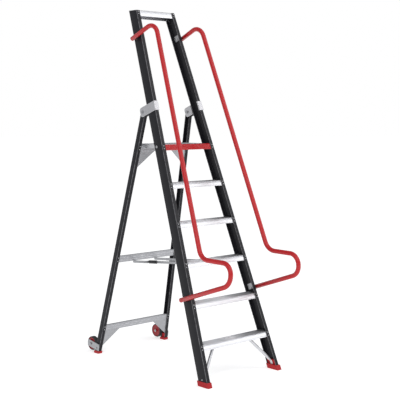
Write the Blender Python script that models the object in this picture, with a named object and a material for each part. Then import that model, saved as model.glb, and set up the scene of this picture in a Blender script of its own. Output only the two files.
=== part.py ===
"""A fibreglass platform step ladder with two handrails and a pair of wheels.

Metres, +Z up, +X to the climber's right, the climber stands on the -Y side. The front frame is fixed;
the rear frame, the platform deck, the folding stay and the wheels hang on empties on their joint axes.
"""

from math import asin, atan2, cos, hypot, pi, radians, sin, tan

import bmesh
import bpy
from mathutils import Vector

# Front frame
STILE_LEAN = radians(20.3)
STILE_SPLAY = radians(3.78)
TOP_ABOVE_PLATFORM = 0.87
FLOOR_WIDTH = 0.631
STILE_DEPTH = 0.0775
STILE_FLANGE = 0.0265
WALL = 0.004

# Steps, platform front and top bar
STEP_RISE = 0.24
STEP_COUNT = 5
SHEET = 0.0025
LIP = 0.008
STEP_FRONT = 0.034
STEP_BACK = 0.028
PLATFORM_FRONT = 0.037
PLATFORM_FRONT_DEPTH = 0.022
TOP_BAR_FRONT = 0.038
TOP_BAR_BACK = 0.052

# Rear frame
HINGE_ABOVE_PLATFORM = 0.2054
HINGE_ROOM = 0.0245
LEG_LEAN = radians(13.52)
LEG_SPLAY = radians(3.58)
LEG_DEPTH = 0.043
LEG_FLANGE = 0.0255
LEG_WALL = 0.0035
LEG_CROWN = 0.020
CROSSBAR_DEPTH = 0.026
FLUTE_DEPTH = 0.0012
UPPER_BAR_BELOW_PLATFORM = 0.0045
MID_BAR_BELOW_STEP = 0.036
LOWER_BAR_TOP = 0.199
UPPER_BAR_HEIGHT = 0.046
MID_BAR_HEIGHT = 0.044
LOWER_BAR_HEIGHT = 0.040
GUSSET_SIDE = 0.122
GUSSET_DROP = 0.108
GUSSET_SHEET = 0.0025

# Hinge brackets and their bolts
SADDLE_SHEET = 0.003
SADDLE_HEIGHT = 0.063
SADDLE_TAIL = 0.023
SADDLE_ROUND = 0.018
SADDLE_RETURN = 0.008
SADDLE_TAB = 0.018
LEG_PLAY = 0.0012
SADDLE_ROOM = 0.0018
BOLT_RADIUS = 0.005
BOLT_HEAD_RADIUS = 0.009
BOLT_HEAD = 0.006
BUSH_RADIUS = 0.009

# Handrails
RAIL_RADIUS = 0.0148
RAIL_WALL = 0.0018
RAIL_GAP = 0.009
RAIL_STANDOFF = 0.180
RAIL_TOP_DROP = 0.1758
RAIL_FOOT_RISE = 0.0357
RAIL_END = 0.074
RAIL_TOP_BEND = 0.075
RAIL_TILTS = (radians(3.1), radians(-1.2))
RAIL_GRIP_ABOVE_STEP = 0.047
RAIL_GRIP_REACH = 0.166
RAIL_LOW_BEND = 0.080
RAIL_END_BENDS = (0.066, 0.076)
SPACER_RADIUS = 0.018
STUD_RADIUS = 0.004
CLAMP_LENGTH = 0.038
CLAMP_WIDTH = 0.052
CLAMP_SHIFT = 0.010
CLAMP_SHEET = 0.003

# Braces and feet
STRUT_RADIUS = 0.010
STRUT_FLAT = 0.0025
STRUT_TOP_FROM_WEB = 0.160
STRUT_FOOT_HEIGHT = 0.040
STRUT_BEND_SPAN = 0.015
STRUT_BEND_DROP = 0.030
STRUT_ANKLE = 0.036
FOOT_HEIGHT = 0.031
FOOT_WALLS = (0.006, 0.0035, 0.006, 0.0035)
FOOT_SOLE = 0.008
PLUG_RISE = 0.030
PLUG_THICKNESS = 0.015
REAR_FOOT_HEIGHT = 0.017
REAR_FOOT_WALLS = (0.004, 0.004, 0.0045, 0.0035)

# Platform deck
DECK_SHEET = 0.004
DECK_WALL = 0.003
DECK_HEIGHT = 0.026
DECK_PIVOT_DROP = 0.015
DECK_PIVOT_BACK = 0.052
DECK_NOSE = 0.010
DECK_LENGTH = 0.175
DECK_LIP = 0.042
DECK_SIDE_GAP = 0.004
DECK_PIN_RADIUS = 0.005

# Folding stay
STAY_SPACING = 0.160
STAY_BELOW_STEP = 0.032
STAY_BEHIND_STILE = 0.0125
STAY_HOOK_LINK = 0.148
STAY_HEIGHT = 0.0165
STAY_SHEET = 0.003
LUG_RADIUS = 0.008
LUG_LENGTH = 0.024
STAY_PIN_RADIUS = 0.004
RIVET_HEAD = 0.002
HOOK_RISE = 0.018
HOOK_NOSE = 0.007
GRIP_RADIUS = 0.0115
GRIP_LENGTH = 0.074
GRIP_BEFORE_KNEE = 0.010
HOOK_OFFSET = 0.0125

# Wheels
WHEEL_CLEARANCE = 0.003
WHEEL_HEIGHT = 0.057
WHEEL_RADIUS = 0.0475
WHEEL_WIDTH = 0.034
TYRE_THICKNESS = 0.0065
HUB_BORE = 0.0053
AXLE_RADIUS = 0.005
WHEEL_PLATE_SHEET = 0.003
WHEEL_PLATE_HEIGHT = 0.046
WHEEL_PLATE_TAIL = 0.032
WHEEL_PLATE_BOLT_DROP = 0.018
WHEEL_INSET = 0.004
BOSS_RADIUS = 0.013
RIM_DISH = 0.005
TYRE_CROWN = 0.003
WHEEL_PLATE_SLOPE = radians(9.0)

# Fits
GAP = 0.0003
RUNNING = 0.0006
HOLE_PLAY = 0.0004
ROUND = 20
TUBE_SIDES = 12

SIDES = {"left": -1, "right": 1}
AXLE_X = Vector((1.0, 0.0, 0.0))
PLATFORM_Z = STEP_RISE * (STEP_COUNT + 1)
STILE_TOP = PLATFORM_Z + TOP_ABOVE_PLATFORM
UPPER_BAR_TOP = PLATFORM_Z - UPPER_BAR_BELOW_PLATFORM
MID_BAR_TOP = 3 * STEP_RISE - MID_BAR_BELOW_STEP


# Places on the two frames

def front_half_width(z):
    return FLOOR_WIDTH / 2 - tan(STILE_SPLAY) * z


def stile_point(side, across, back, z):
    """A point of a front stile: across inwards from its web, back from its front face, at height z."""
    y = tan(STILE_LEAN) * z + back / cos(STILE_LEAN)
    return Vector((side * (front_half_width(z) - across), y, z))


def stile_place(side, across, back, along):
    """The same, measured along the stile instead of by height."""
    return stile_point(side, across, back, along * cos(STILE_LEAN) - back * sin(STILE_LEAN))


def profile_point(back, along):
    """Y and Z of a point given along and behind the stile's front face."""
    point = stile_place(0, 0, back, along)
    return Vector((0.0, point.y, point.z))


def along_at(back, z):
    """How far along the stile a point of height z lies, at some distance behind the front face."""
    return (z + back * sin(STILE_LEAN)) / cos(STILE_LEAN)


HINGE_BACK = STILE_DEPTH + HINGE_ROOM + LEG_DEPTH / 2
HINGE_ALONG = along_at(HINGE_BACK, PLATFORM_Z + HINGE_ABOVE_PLATFORM)
HINGE = profile_point(HINGE_BACK, HINGE_ALONG)
RAIL_TOP = along_at(0.0, STILE_TOP) - RAIL_TOP_DROP
RAIL_FOOT = along_at(STILE_DEPTH / 2, 2 * STEP_RISE + RAIL_FOOT_RISE) - CLAMP_SHIFT
LEG_FLOOR_HALF = front_half_width(HINGE.z) - LEG_PLAY + tan(LEG_SPLAY) * HINGE.z


def leg_half_width(z):
    return LEG_FLOOR_HALF - tan(LEG_SPLAY) * z


def leg_front_y(z):
    """Y of the rear legs' front faces."""
    return HINGE.y + tan(LEG_LEAN) * (HINGE.z - z) - LEG_DEPTH / 2 / cos(LEG_LEAN)


def leg_point(side, across, back, z):
    """A point of a rear leg: across inwards from its web, back from its front face, at height z."""
    y = leg_front_y(z) + back / cos(LEG_LEAN)
    return Vector((side * (leg_half_width(z) - across), y, z))


WHEEL_BACK = LEG_DEPTH + WHEEL_RADIUS + WHEEL_CLEARANCE
WHEEL_CENTRE = Vector((0.0, leg_front_y(WHEEL_HEIGHT) + WHEEL_BACK / cos(LEG_LEAN), WHEEL_HEIGHT))
DECK_PIVOT_Z = PLATFORM_Z - DECK_PIVOT_DROP
DECK_PIVOT = Vector((0.0, stile_point(0, 0, DECK_PIVOT_BACK, DECK_PIVOT_Z).y, DECK_PIVOT_Z))
STAY_BACK = STILE_DEPTH + STAY_BEHIND_STILE
STAY_PIVOT = profile_point(STAY_BACK, along_at(STAY_BACK, 3 * STEP_RISE - STAY_BELOW_STEP))
MID_BAR_BOTTOM = MID_BAR_TOP - MID_BAR_HEIGHT
BAR_FRONT = leg_point(0, 0, LEG_WALL + GAP, MID_BAR_BOTTOM) - STAY_PIVOT
BAR_REAR = leg_point(0, 0, LEG_WALL + GAP + CROSSBAR_DEPTH + RUNNING, MID_BAR_BOTTOM) - STAY_PIVOT
STAY_HALF = STAY_HEIGHT / 2
STAY_SLOPE = atan2(-BAR_FRONT.z, BAR_FRONT.y) + asin((STAY_HALF + RUNNING) / BAR_FRONT.length)
STAY_DIRECTION = Vector((0.0, cos(STAY_SLOPE), -sin(STAY_SLOPE)))
STAY_UP = Vector((0.0, sin(STAY_SLOPE), cos(STAY_SLOPE)))
STAY_REACH = BAR_REAR.dot(STAY_DIRECTION) + tan(LEG_LEAN + STAY_SLOPE) * (BAR_REAR.dot(STAY_UP) - STAY_HALF)
STAY_KNEE = STAY_REACH - STAY_HOOK_LINK
STAY_KNEE_POINT = STAY_PIVOT + STAY_DIRECTION * STAY_KNEE


# Scene, materials and bodies

def clear_scene():
    for item in list(bpy.data.objects):
        bpy.data.objects.remove(item, do_unlink=True)


def material(name, colour, roughness, metallic=0.0):
    made = bpy.data.materials.new(name)
    made.use_nodes = True
    shader = made.node_tree.nodes["Principled BSDF"]
    shader.inputs["Base Color"].default_value = (*colour, 1.0)
    shader.inputs["Roughness"].default_value = roughness
    shader.inputs["Metallic"].default_value = metallic
    return made


def empty(name, place, parent=None):
    made = bpy.data.objects.new(name, None)
    made.empty_display_size = 0.05
    bpy.context.collection.objects.link(made)
    made.parent = parent
    made.location = place - world_place(parent)
    made["place"] = tuple(place)
    return made


def world_place(body):
    """Where a body's empty stands before the ladder is centred over its footprint."""
    return Vector(body["place"]) if body else Vector()


def finish(name, shape, finish_of, body, smooth=False, cuts=()):
    """Turns a bmesh in ladder coordinates into a named object on its body, with its cuts taken out."""
    bmesh.ops.recalc_face_normals(shape, faces=shape.faces)
    bmesh.ops.translate(shape, verts=shape.verts, vec=-world_place(body))
    mesh = bpy.data.meshes.new(name)
    shape.to_mesh(mesh)
    shape.free()
    if smooth:
        mesh.shade_smooth()
        mesh.set_sharp_from_angle(angle=radians(35))
    mesh.materials.append(finish_of)
    made = bpy.data.objects.new(name, mesh)
    bpy.context.collection.objects.link(made)
    made.parent = body
    for number, (operation, tool_shape) in enumerate(cuts):
        tool = finish(f"{name}_tool_{number}", tool_shape, finish_of, body)
        tool.hide_render = True
        tool.display_type = "WIRE"
        cut = made.modifiers.new(f"{operation.lower()}_{number}", "BOOLEAN")
        cut.operation = operation
        cut.solver = "EXACT"
        cut.object = tool
    return made


# Shapes

def loft(loops, ring=False):
    """A closed solid through loops of equal length, with a face on each end unless it closes on itself."""
    shape = bmesh.new()
    rings = [[shape.verts.new(point) for point in loop] for loop in loops]
    following = rings[1:] + rings[:1] if ring else rings[1:]
    for near, far in zip(rings, following):
        for i in range(len(near)):
            shape.faces.new((near[i - 1], near[i], far[i], far[i - 1]))
    if not ring:
        shape.faces.new(rings[0])
        shape.faces.new(rings[-1])
    return shape


def circle(centre, axis, radius, sides=ROUND):
    """Points round an axis."""
    turn = axis.normalized().to_track_quat("Z", "Y").to_matrix()
    angles = [2 * pi * i / sides for i in range(sides)]
    return [centre + turn @ Vector((radius * cos(a), radius * sin(a), 0.0)) for a in angles]


def turned(start, axis, profile, sides=ROUND):
    """A solid turned about an axis from (distance, radius) pairs."""
    direction = axis.normalized()
    return loft([circle(start + direction * along, direction, radius, sides) for along, radius in profile])


def ring_turned(start, axis, profile, sides=ROUND):
    """A turned ring, from a closed profile of (distance, radius) pairs."""
    direction = axis.normalized()
    loops = [circle(start + direction * along, direction, radius, sides) for along, radius in profile]
    return loft(loops, ring=True)


def bolt(start, axis, length, radius=BOLT_RADIUS, head_radius=BOLT_HEAD_RADIUS, nut=True):
    """A bolt whose head lies before start and whose nut lies past its length."""
    profile = [(-BOLT_HEAD, head_radius), (0.0, head_radius), (0.0, radius)]
    if nut:
        profile += [(length, radius), (length, head_radius), (length + BOLT_HEAD, head_radius)]
    else:
        profile += [(length, radius)]
    return turned(start, axis, profile)


def hole(place, axis, radius, reach=3 * WALL, sides=16):
    """A cut for a pin or a bolt of this radius, reaching both ways from place along the axis."""
    bore = radius + HOLE_PLAY
    return ("DIFFERENCE", turned(place - axis * reach, axis, [(0.0, bore), (2 * reach, bore)], sides))


def channel_outline(flange, depth, wall):
    """A channel's section as (across, back) pairs, its web outside and its mouth inwards."""
    return [
        (0.0, 0.0),
        (flange, 0.0),
        (flange, wall),
        (wall, wall),
        (wall, depth - wall),
        (flange, depth - wall),
        (flange, depth),
        (0.0, depth),
    ]


def tread_outline(front, back, height_z, front_drop, back_drop):
    """A tread profile open downwards with an inner lip on each wall, as (back, z) pairs."""
    top = height_z - SHEET
    low_front = height_z - front_drop
    low_back = height_z - back_drop
    return [
        (front, height_z),
        (back, height_z),
        (back, low_back),
        (back - LIP, low_back),
        (back - LIP, low_back + SHEET),
        (back - SHEET, low_back + SHEET),
        (back - SHEET, top),
        (front + SHEET, top),
        (front + SHEET, low_front + SHEET),
        (front + LIP, low_front + SHEET),
        (front + LIP, low_front),
        (front, low_front),
    ]


def across_the_stiles(outline, half_width):
    """A profile of (back, z) pairs laid across the front frame."""
    ends = []
    for side in (-1, 1):
        points = [stile_point(0, 0, back, z) for back, z in outline]
        ends.append([Vector((side * half_width, point.y, point.z)) for point in points])
    return loft(ends)


def rounded_path(corners, bends, pieces=6):
    """Points along straight runs whose corners are rounded to the bends' radii, all in one plane."""
    path = [corners[0]]
    for before, corner, after, radius in zip(corners, corners[1:], corners[2:], bends):
        back = (before - corner).normalized()
        ahead = (after - corner).normalized()
        half = back.angle(ahead) / 2
        centre = corner + (back + ahead).normalized() * (radius / sin(half))
        start = corner + back * (radius / tan(half)) - centre
        end = corner + ahead * (radius / tan(half)) - centre
        sweep = start.angle(end)
        for step in range(pieces + 1):
            share = step / pieces
            mixed = start * sin((1 - share) * sweep) + end * sin(share * sweep)
            path.append(centre + mixed / sin(sweep))
    path.append(corners[-1])
    return path


def tube_along(path, normal, radius, wall, sides):
    """An open-ended tube along a path that lies in the plane of the normal."""
    rings = []
    for i, point in enumerate(path):
        before = path[max(i - 1, 0)]
        after = path[min(i + 1, len(path) - 1)]
        tangent = (after - before).normalized()
        outward = tangent.cross(normal).normalized()
        rings.append((point, outward))
    shape = bmesh.new()
    skins = []
    for skin_radius in (radius, radius - wall):
        skin = []
        for point, outward in rings:
            angles = [2 * pi * i / sides for i in range(sides)]
            offsets = [outward * (skin_radius * cos(a)) + normal * (skin_radius * sin(a)) for a in angles]
            skin.append([shape.verts.new(point + offset) for offset in offsets])
        skins.append(skin)
    outer, inner = skins
    for skin in skins:
        for near, far in zip(skin, skin[1:]):
            for i in range(sides):
                shape.faces.new((near[i - 1], near[i], far[i], far[i - 1]))
    for end in (0, -1):
        for i in range(sides):
            shape.faces.new((outer[end][i - 1], outer[end][i], inner[end][i], inner[end][i - 1]))
    return shape


# Front frame

def stile(name, side, body, finish_of):
    outline = channel_outline(STILE_FLANGE, STILE_DEPTH, WALL)
    heights = (FOOT_SOLE, STILE_TOP)
    loops = [[stile_point(side, across, back, z) for across, back in outline] for z in heights]
    pivot = stile_point(side, -GAP, DECK_PIVOT_BACK, DECK_PIVOT_Z)
    cuts = [hole(pivot, AXLE_X, DECK_PIN_RADIUS)]
    for along in (RAIL_TOP, RAIL_FOOT):
        cuts.append(hole(rail_stud_place(side, along), web_normal(side), STUD_RADIUS))
    return finish(name, loft(loops), finish_of, body, cuts=cuts)



def step(name, number, body, finish_of):
    z = STEP_RISE * number
    outline = tread_outline(WALL + GAP, STILE_DEPTH - WALL - GAP, z, STEP_FRONT, STEP_BACK)
    return finish(name, across_the_stiles(outline, front_half_width(z) - WALL - GAP), finish_of, body)


def platform_front(body, finish_of):
    front = WALL + GAP
    outline = tread_outline(front, front + PLATFORM_FRONT_DEPTH, PLATFORM_Z, PLATFORM_FRONT, PLATFORM_FRONT)
    half_width = front_half_width(PLATFORM_Z) - WALL - GAP
    return finish("platform_front", across_the_stiles(outline, half_width), finish_of, body)


def top_bar(body, finish_of):
    outline = tread_outline(WALL + GAP, STILE_DEPTH - WALL - GAP, STILE_TOP, TOP_BAR_FRONT, TOP_BAR_BACK)
    half_width = front_half_width(STILE_TOP) - WALL - GAP
    return finish("top_bar", across_the_stiles(outline, half_width), finish_of, body)


def saddle_sheet(name, side, section, body, finish_of):
    """Sheet bent to a section of (across, back) pairs, its rear corners rounded, bored for the leg's bolt."""
    low = HINGE_ALONG - SADDLE_HEIGHT / 2
    high = HINGE_ALONG + SADDLE_HEIGHT / 2
    loops = [[stile_place(side, across, back, along) for across, back in section] for along in (low, high)]
    shape = loft(loops)
    tails = [stile_place(side, 0, HINGE_BACK + SADDLE_TAIL, along) for along in (low, high)]
    corners = []
    for edge in shape.edges:
        middle = (edge.verts[0].co + edge.verts[1].co) / 2
        off_tail = min(hypot(middle.y - t.y, middle.z - t.z) for t in tails)
        if edge.calc_length() < SADDLE_SHEET + GAP and off_tail < SADDLE_SHEET:
            corners.append(edge)
    bmesh.ops.bevel(shape, geom=corners, offset=SADDLE_ROUND, segments=4, profile=0.5, affect="EDGES")
    place = HINGE + AXLE_X * (side * (front_half_width(HINGE.z) - STILE_FLANGE / 2))
    bore = hole(place, AXLE_X, BOLT_RADIUS, STILE_FLANGE + 4 * SADDLE_SHEET)
    return finish(name, shape, finish_of, body, cuts=[bore])


def hinge_bracket(name, side, body, finish_of):
    """A saddle round the stile's front, whose outer cheek runs back to the leg's bolt."""
    outside = -GAP
    inside = STILE_FLANGE + SADDLE_ROOM
    tail = HINGE_BACK + SADDLE_TAIL
    section = [
        (outside - SADDLE_SHEET, -GAP - SADDLE_SHEET),
        (inside + SADDLE_SHEET, -GAP - SADDLE_SHEET),
        (inside + SADDLE_SHEET, SADDLE_RETURN),
        (inside, SADDLE_RETURN),
        (inside, -GAP),
        (outside, -GAP),
        (outside, tail),
        (outside - SADDLE_SHEET, tail),
    ]
    return saddle_sheet(name, side, section, body, finish_of)


def hinge_plate(name, side, body, finish_of):
    """The inner cheek, an angle on the stile's rear flange that leaves the channel's mouth open."""
    inside = STILE_FLANGE + SADDLE_ROOM
    tail = HINGE_BACK + SADDLE_TAIL
    near = STILE_DEPTH + GAP
    section = [
        (inside - SADDLE_TAB, near),
        (inside + SADDLE_SHEET, near),
        (inside + SADDLE_SHEET, tail),
        (inside, tail),
        (inside, near + SADDLE_SHEET),
        (inside - SADDLE_TAB, near + SADDLE_SHEET),
    ]
    return saddle_sheet(name, side, section, body, finish_of)


def hinge_bolt(name, side, body, finish_of):
    """The bolt through both cheeks and the leg, head outside and nut inside."""
    slack = 2 * RUNNING
    head = front_half_width(HINGE.z) + GAP + SADDLE_SHEET + slack
    length = STILE_FLANGE + SADDLE_ROOM + GAP + 2 * (SADDLE_SHEET + slack)
    shape = bolt(HINGE + AXLE_X * (side * head), -AXLE_X * side, length)
    return finish(name, shape, finish_of, body, smooth=True)


def rail_run(back, along, tilt):
    """A profile point on a rail's end run, which crosses the web's middle line where its stud is."""
    return profile_point(back, along + tan(tilt) * (STILE_DEPTH / 2 - back))


def rail_corners():
    """The handrail's corners in profile, from its upper end to its lower one."""
    upper_tilt, lower_tilt = RAIL_TILTS
    grip_z = 3 * STEP_RISE + RAIL_GRIP_ABOVE_STEP
    nose_y = -RAIL_GRIP_REACH
    foot = rail_run(RAIL_END, RAIL_FOOT, lower_tilt)
    chin_z = foot.z + tan(STILE_LEAN + lower_tilt) * (foot.y - nose_y)
    return [
        rail_run(RAIL_END, RAIL_TOP, upper_tilt),
        rail_run(-RAIL_STANDOFF, RAIL_TOP, upper_tilt),
        profile_point(-RAIL_STANDOFF, along_at(-RAIL_STANDOFF, grip_z)),
        Vector((0.0, nose_y, grip_z)),
        Vector((0.0, nose_y, chin_z)),
        foot,
    ]


def rail_plane(side, point):
    """Moves a profile point sideways into the handrail's plane."""
    offset = front_half_width(point.z) + RAIL_GAP + RAIL_RADIUS
    return Vector((side * offset, point.y, point.z))


def handrail(name, side, body, finish_of):
    bends = (RAIL_TOP_BEND, RAIL_LOW_BEND, *RAIL_END_BENDS)
    path = rounded_path([rail_plane(side, corner) for corner in rail_corners()], bends)
    shape = tube_along(path, web_normal(side), RAIL_RADIUS, RAIL_WALL, TUBE_SIDES)
    cuts = []
    for along in (RAIL_TOP, RAIL_FOOT):
        near_wall = rail_stud_place(side, along) + web_normal(side) * RAIL_GAP
        cuts.append(hole(near_wall, web_normal(side), STUD_RADIUS, RAIL_RADIUS, TUBE_SIDES))
    return finish(name, shape, finish_of, body, smooth=True, cuts=cuts)


def rail_stud_place(side, along):
    """Where a handrail's stud leaves the stile's outer face."""
    return stile_place(side, 0.0, STILE_DEPTH / 2, along)


def web_normal(side):
    """Square to a stile's outer face."""
    return Vector((side, 0.0, tan(STILE_SPLAY))).normalized()


def rail_spacer(name, side, along, tilt, body, finish_of):
    """A black collar between the web and the rail, hollowed to the rail's round."""
    place = rail_stud_place(side, along)
    out = web_normal(side)
    length = RAIL_GAP + RAIL_RADIUS / 2
    shape = turned(place + out * GAP, out, [(0.0, SPACER_RADIUS), (length, SPACER_RADIUS)], 16)
    bore = hole(place, out, STUD_RADIUS, 2 * length, TUBE_SIDES)
    ends = [rail_plane(side, rail_run(back, along, tilt)) for back in (0.0, STILE_DEPTH)]
    run = (ends[1] - ends[0]).normalized()
    saddle = hole(rail_plane(side, place), run, RAIL_RADIUS, 2 * SPACER_RADIUS, 2 * TUBE_SIDES)
    return finish(name, shape, finish_of, body, cuts=[bore, saddle])


def rail_clamp(name, side, along, body, finish_of):
    """A backing plate inside the web, with the stud that runs out through spacer and rail."""
    half_length = CLAMP_LENGTH / 2
    half_width = CLAMP_WIDTH / 2
    middle = STILE_DEPTH / 2
    corners = [(-1, -1), (1, -1), (1, 1), (-1, 1)]
    near = WALL + GAP
    centre = along + CLAMP_SHIFT
    loops = []
    for across in (near, near + CLAMP_SHEET):
        places = [(middle + b * half_width, centre + a * half_length) for a, b in corners]
        loops.append([stile_place(side, across, back, height) for back, height in places])
    out = web_normal(side)
    start = rail_stud_place(side, along) - out * (near + CLAMP_SHEET / 2)
    reach = near + CLAMP_SHEET / 2 + RAIL_GAP + RAIL_RADIUS
    stud = turned(start, out, [(0.0, STUD_RADIUS), (reach, STUD_RADIUS)], TUBE_SIDES)
    nut = turned(start, -out, [(0.0, 2 * STUD_RADIUS), (2 * CLAMP_SHEET, 2 * STUD_RADIUS)], 6)
    return finish(name, loft(loops), finish_of, body, cuts=[("UNION", stud), ("UNION", nut)])


def brace_strut(name, side, body, finish_of):
    """A tube from below the first step to the stile's foot; both ends are pressed flat."""
    middle = STILE_DEPTH / 2
    step_under = STEP_RISE - SHEET - GAP
    top = stile_point(side, STRUT_TOP_FROM_WEB, middle, step_under - STRUT_FLAT / 2)
    foot = stile_point(side, WALL + PLUG_THICKNESS + RUNNING + STRUT_FLAT, middle, STRUT_FOOT_HEIGHT)
    outwards = AXLE_X * side
    down = (stile_point(side, 0, middle, 0.0) - stile_point(side, 0, middle, 1.0)).normalized()
    shoulder = top + outwards * STRUT_BEND_SPAN + Vector((0.0, 0.0, -STRUT_BEND_DROP))
    ankle = foot - outwards * STRUT_BEND_SPAN - down * STRUT_ANKLE
    run = (ankle - shoulder).normalized()
    flat_half = STRUT_FLAT / 2
    stations = [
        (top - outwards * STRUT_RADIUS, outwards, flat_half),
        (top + outwards * STRUT_RADIUS / 2, outwards, flat_half),
        (shoulder, run, STRUT_RADIUS),
        (ankle, run, STRUT_RADIUS),
        (foot - down * STRUT_RADIUS, down, flat_half),
        (foot + down * STRUT_RADIUS, down, flat_half),
    ]
    loops = []
    for centre, axis, thin in stations:
        flat = axis.cross(Vector((0.0, 1.0, 0.0))).normalized()
        level = flat.cross(axis).normalized()
        angles = [2 * pi * i / TUBE_SIDES for i in range(TUBE_SIDES)]
        loops.append([centre + level * (STRUT_RADIUS * cos(a)) + flat * (thin * sin(a)) for a in angles])
    return finish(name, loft(loops), finish_of, body, smooth=True)


def boot(name, point_at, side, channel, walls, height, body, finish_of, notch=()):
    """A rubber boot round a channel's end, with a plug that rises against the inside of its web."""
    flange, depth, wall_of_channel = channel
    outer, inward, ahead, behind = walls
    inset = wall_of_channel + RUNNING
    inner = wall_of_channel + PLUG_THICKNESS

    def block(across_limits, back_limits, z_limits):
        near, far = across_limits
        front, rear = back_limits
        corners = [(near, front), (far, front), (far, rear), (near, rear)]
        return loft([[point_at(side, across, back, z) for across, back in corners] for z in z_limits])

    shape = block((-outer, flange + inward), (-ahead, depth + behind), (0.0, height))
    around = (-RUNNING, flange + RUNNING)
    along = (-RUNNING, depth + RUNNING)
    pocket = block(around, along, (FOOT_SOLE - RUNNING, 2 * height))
    plug = block((inset, inner), (inset, depth - inset), (FOOT_SOLE / 2, height + PLUG_RISE))
    cuts = [("DIFFERENCE", pocket), ("UNION", plug), *notch]
    return finish(name, shape, finish_of, body, cuts=cuts)


def front_foot(name, side, body, finish_of):
    channel = (STILE_FLANGE, STILE_DEPTH, WALL)
    return boot(name, stile_point, side, channel, FOOT_WALLS, FOOT_HEIGHT, body, finish_of)


def platform_pivot(name, side, body, finish_of):
    """A pin through the web into the deck's side plate, its head outside."""
    head = front_half_width(DECK_PIVOT_Z) + RUNNING
    inner = deck_half_width(DECK_PIVOT.y) - 2 * DECK_SHEET
    start = DECK_PIVOT + AXLE_X * (side * head)
    profile = [
        (-SADDLE_SHEET, BOLT_HEAD_RADIUS),
        (0.0, BOLT_HEAD_RADIUS),
        (0.0, DECK_PIN_RADIUS),
        (head - inner, DECK_PIN_RADIUS),
    ]
    return finish(name, turned(start, -AXLE_X * side, profile), finish_of, body, smooth=True)


def stay_lug(name, side, body, finish_of):
    """A lug riveted below the third step's back lip, with the pin of a stay arm."""
    x = STAY_SPACING / 2 - STAY_SHEET / 2 - RUNNING
    z_top = STEP_RISE * 3 - STEP_BACK - GAP
    top_rear = stile_point(0, 0, STILE_DEPTH - WALL, z_top)
    ring = circle(STAY_PIVOT, AXLE_X, LUG_RADIUS, TUBE_SIDES)
    below = [point for point in ring if point.z < STAY_PIVOT.z + LUG_RADIUS / 2]
    below.sort(key=lambda point: -atan2(point.z - STAY_PIVOT.z - LUG_RADIUS, point.y - STAY_PIVOT.y))
    outline = [top_rear - Vector((0.0, LUG_LENGTH, 0.0)), top_rear, *below]
    loops = [[Vector((side * (x - t), p.y, p.z)) for p in outline] for t in (STAY_SHEET, 0.0)]
    start = STAY_PIVOT + AXLE_X * (side * (x - STAY_SHEET / 2))
    reach = STAY_SHEET * 2 + 4 * RUNNING
    profile = [
        (0.0, STAY_PIN_RADIUS),
        (reach, STAY_PIN_RADIUS),
        (reach, 1.5 * STAY_PIN_RADIUS),
        (reach + RIVET_HEAD, 1.5 * STAY_PIN_RADIUS),
    ]
    pin = turned(start, AXLE_X * side, profile, 16)
    return finish(name, loft(loops), finish_of, body, cuts=[("UNION", pin)])


# Rear frame

def rear_leg(name, side, body, finish_of):
    outline = channel_outline(LEG_FLANGE, LEG_DEPTH, LEG_WALL)
    heights = (FOOT_SOLE, HINGE.z + LEG_CROWN)
    loops = [[leg_point(side, across, back, z) for across, back in outline] for z in heights]
    place = HINGE + AXLE_X * (side * leg_half_width(HINGE.z))
    bolt_place = Vector((side * leg_half_width(WHEEL_HEIGHT), *wheel_bolt_place()))
    cuts = [hole(place, AXLE_X, BOLT_RADIUS), hole(bolt_place, AXLE_X, AXLE_RADIUS)]
    return finish(name, loft(loops), finish_of, body, cuts=cuts)


def leg_bush(name, side, body, finish_of):
    """The spacer bush that the hinge bolt passes through, inside the channel."""
    outer = leg_half_width(HINGE.z) - LEG_WALL - 2 * RUNNING
    inner = leg_half_width(HINGE.z) - LEG_FLANGE + RUNNING
    bore = BOLT_RADIUS + HOLE_PLAY
    length = outer - inner
    profile = [(0.0, BUSH_RADIUS), (length, BUSH_RADIUS), (length, bore), (0.0, bore)]
    shape = ring_turned(HINGE + AXLE_X * (side * inner), AXLE_X * side, profile)
    return finish(name, shape, finish_of, body, smooth=True)


def crossbar(name, top, height, body, finish_of):
    """A box profile behind the legs' front flanges, with two flutes along its face."""
    front = LEG_WALL + GAP
    back = front + CROSSBAR_DEPTH
    half_width = leg_half_width(top) - LEG_WALL - GAP
    flute = FLUTE_DEPTH
    band = height / 3
    outer = [
        (front, top),
        (back, top),
        (back, top - height),
        (front, top - height),
        (front, top - 2 * band - flute),
        (front + flute, top - 2 * band),
        (front, top - 2 * band + flute),
        (front, top - band - flute),
        (front + flute, top - band),
        (front, top - band + flute),
    ]
    inner = [
        (front + SHEET, top - SHEET),
        (back - SHEET, top - SHEET),
        (back - SHEET, top - height + SHEET),
        (front + SHEET, top - height + SHEET),
    ]
    def ends(outline, reach):
        points = [leg_point(0, 0, behind, z) for behind, z in outline]
        return [[Vector((s * reach, p.y, p.z)) for p in points] for s in (-1, 1)]
    hollow = loft(ends(inner, half_width + SHEET))
    return finish(name, loft(ends(outer, half_width)), finish_of, body, cuts=[("DIFFERENCE", hollow)])


def gusset(name, side, bar_bottom, body, finish_of):
    """A triangular plate below a crossbar's end, bolted behind the leg's front flange."""
    near = LEG_WALL + GAP
    top = bar_bottom - GAP
    low = top - GUSSET_DROP
    tuck = LEG_WALL + GAP
    loops = []
    for back in (near, near + GUSSET_SHEET):
        outer_top = leg_point(side, tuck, back, top)
        outer_low = leg_point(side, tuck, back, low)
        inner_low = leg_point(side, LEG_FLANGE - GUSSET_SHEET, back, low)
        inner_top = leg_point(side, LEG_FLANGE + GUSSET_SIDE, back, top)
        loops.append([outer_top, outer_low, inner_low, inner_top])
    return finish(name, loft(loops), finish_of, body)


def wheel_bolt_place():
    """Y and Z of the bolt that holds a wheel plate to its leg."""
    z = WHEEL_HEIGHT - WHEEL_PLATE_BOLT_DROP
    return leg_front_y(z) + LEG_DEPTH / 2, z


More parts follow.
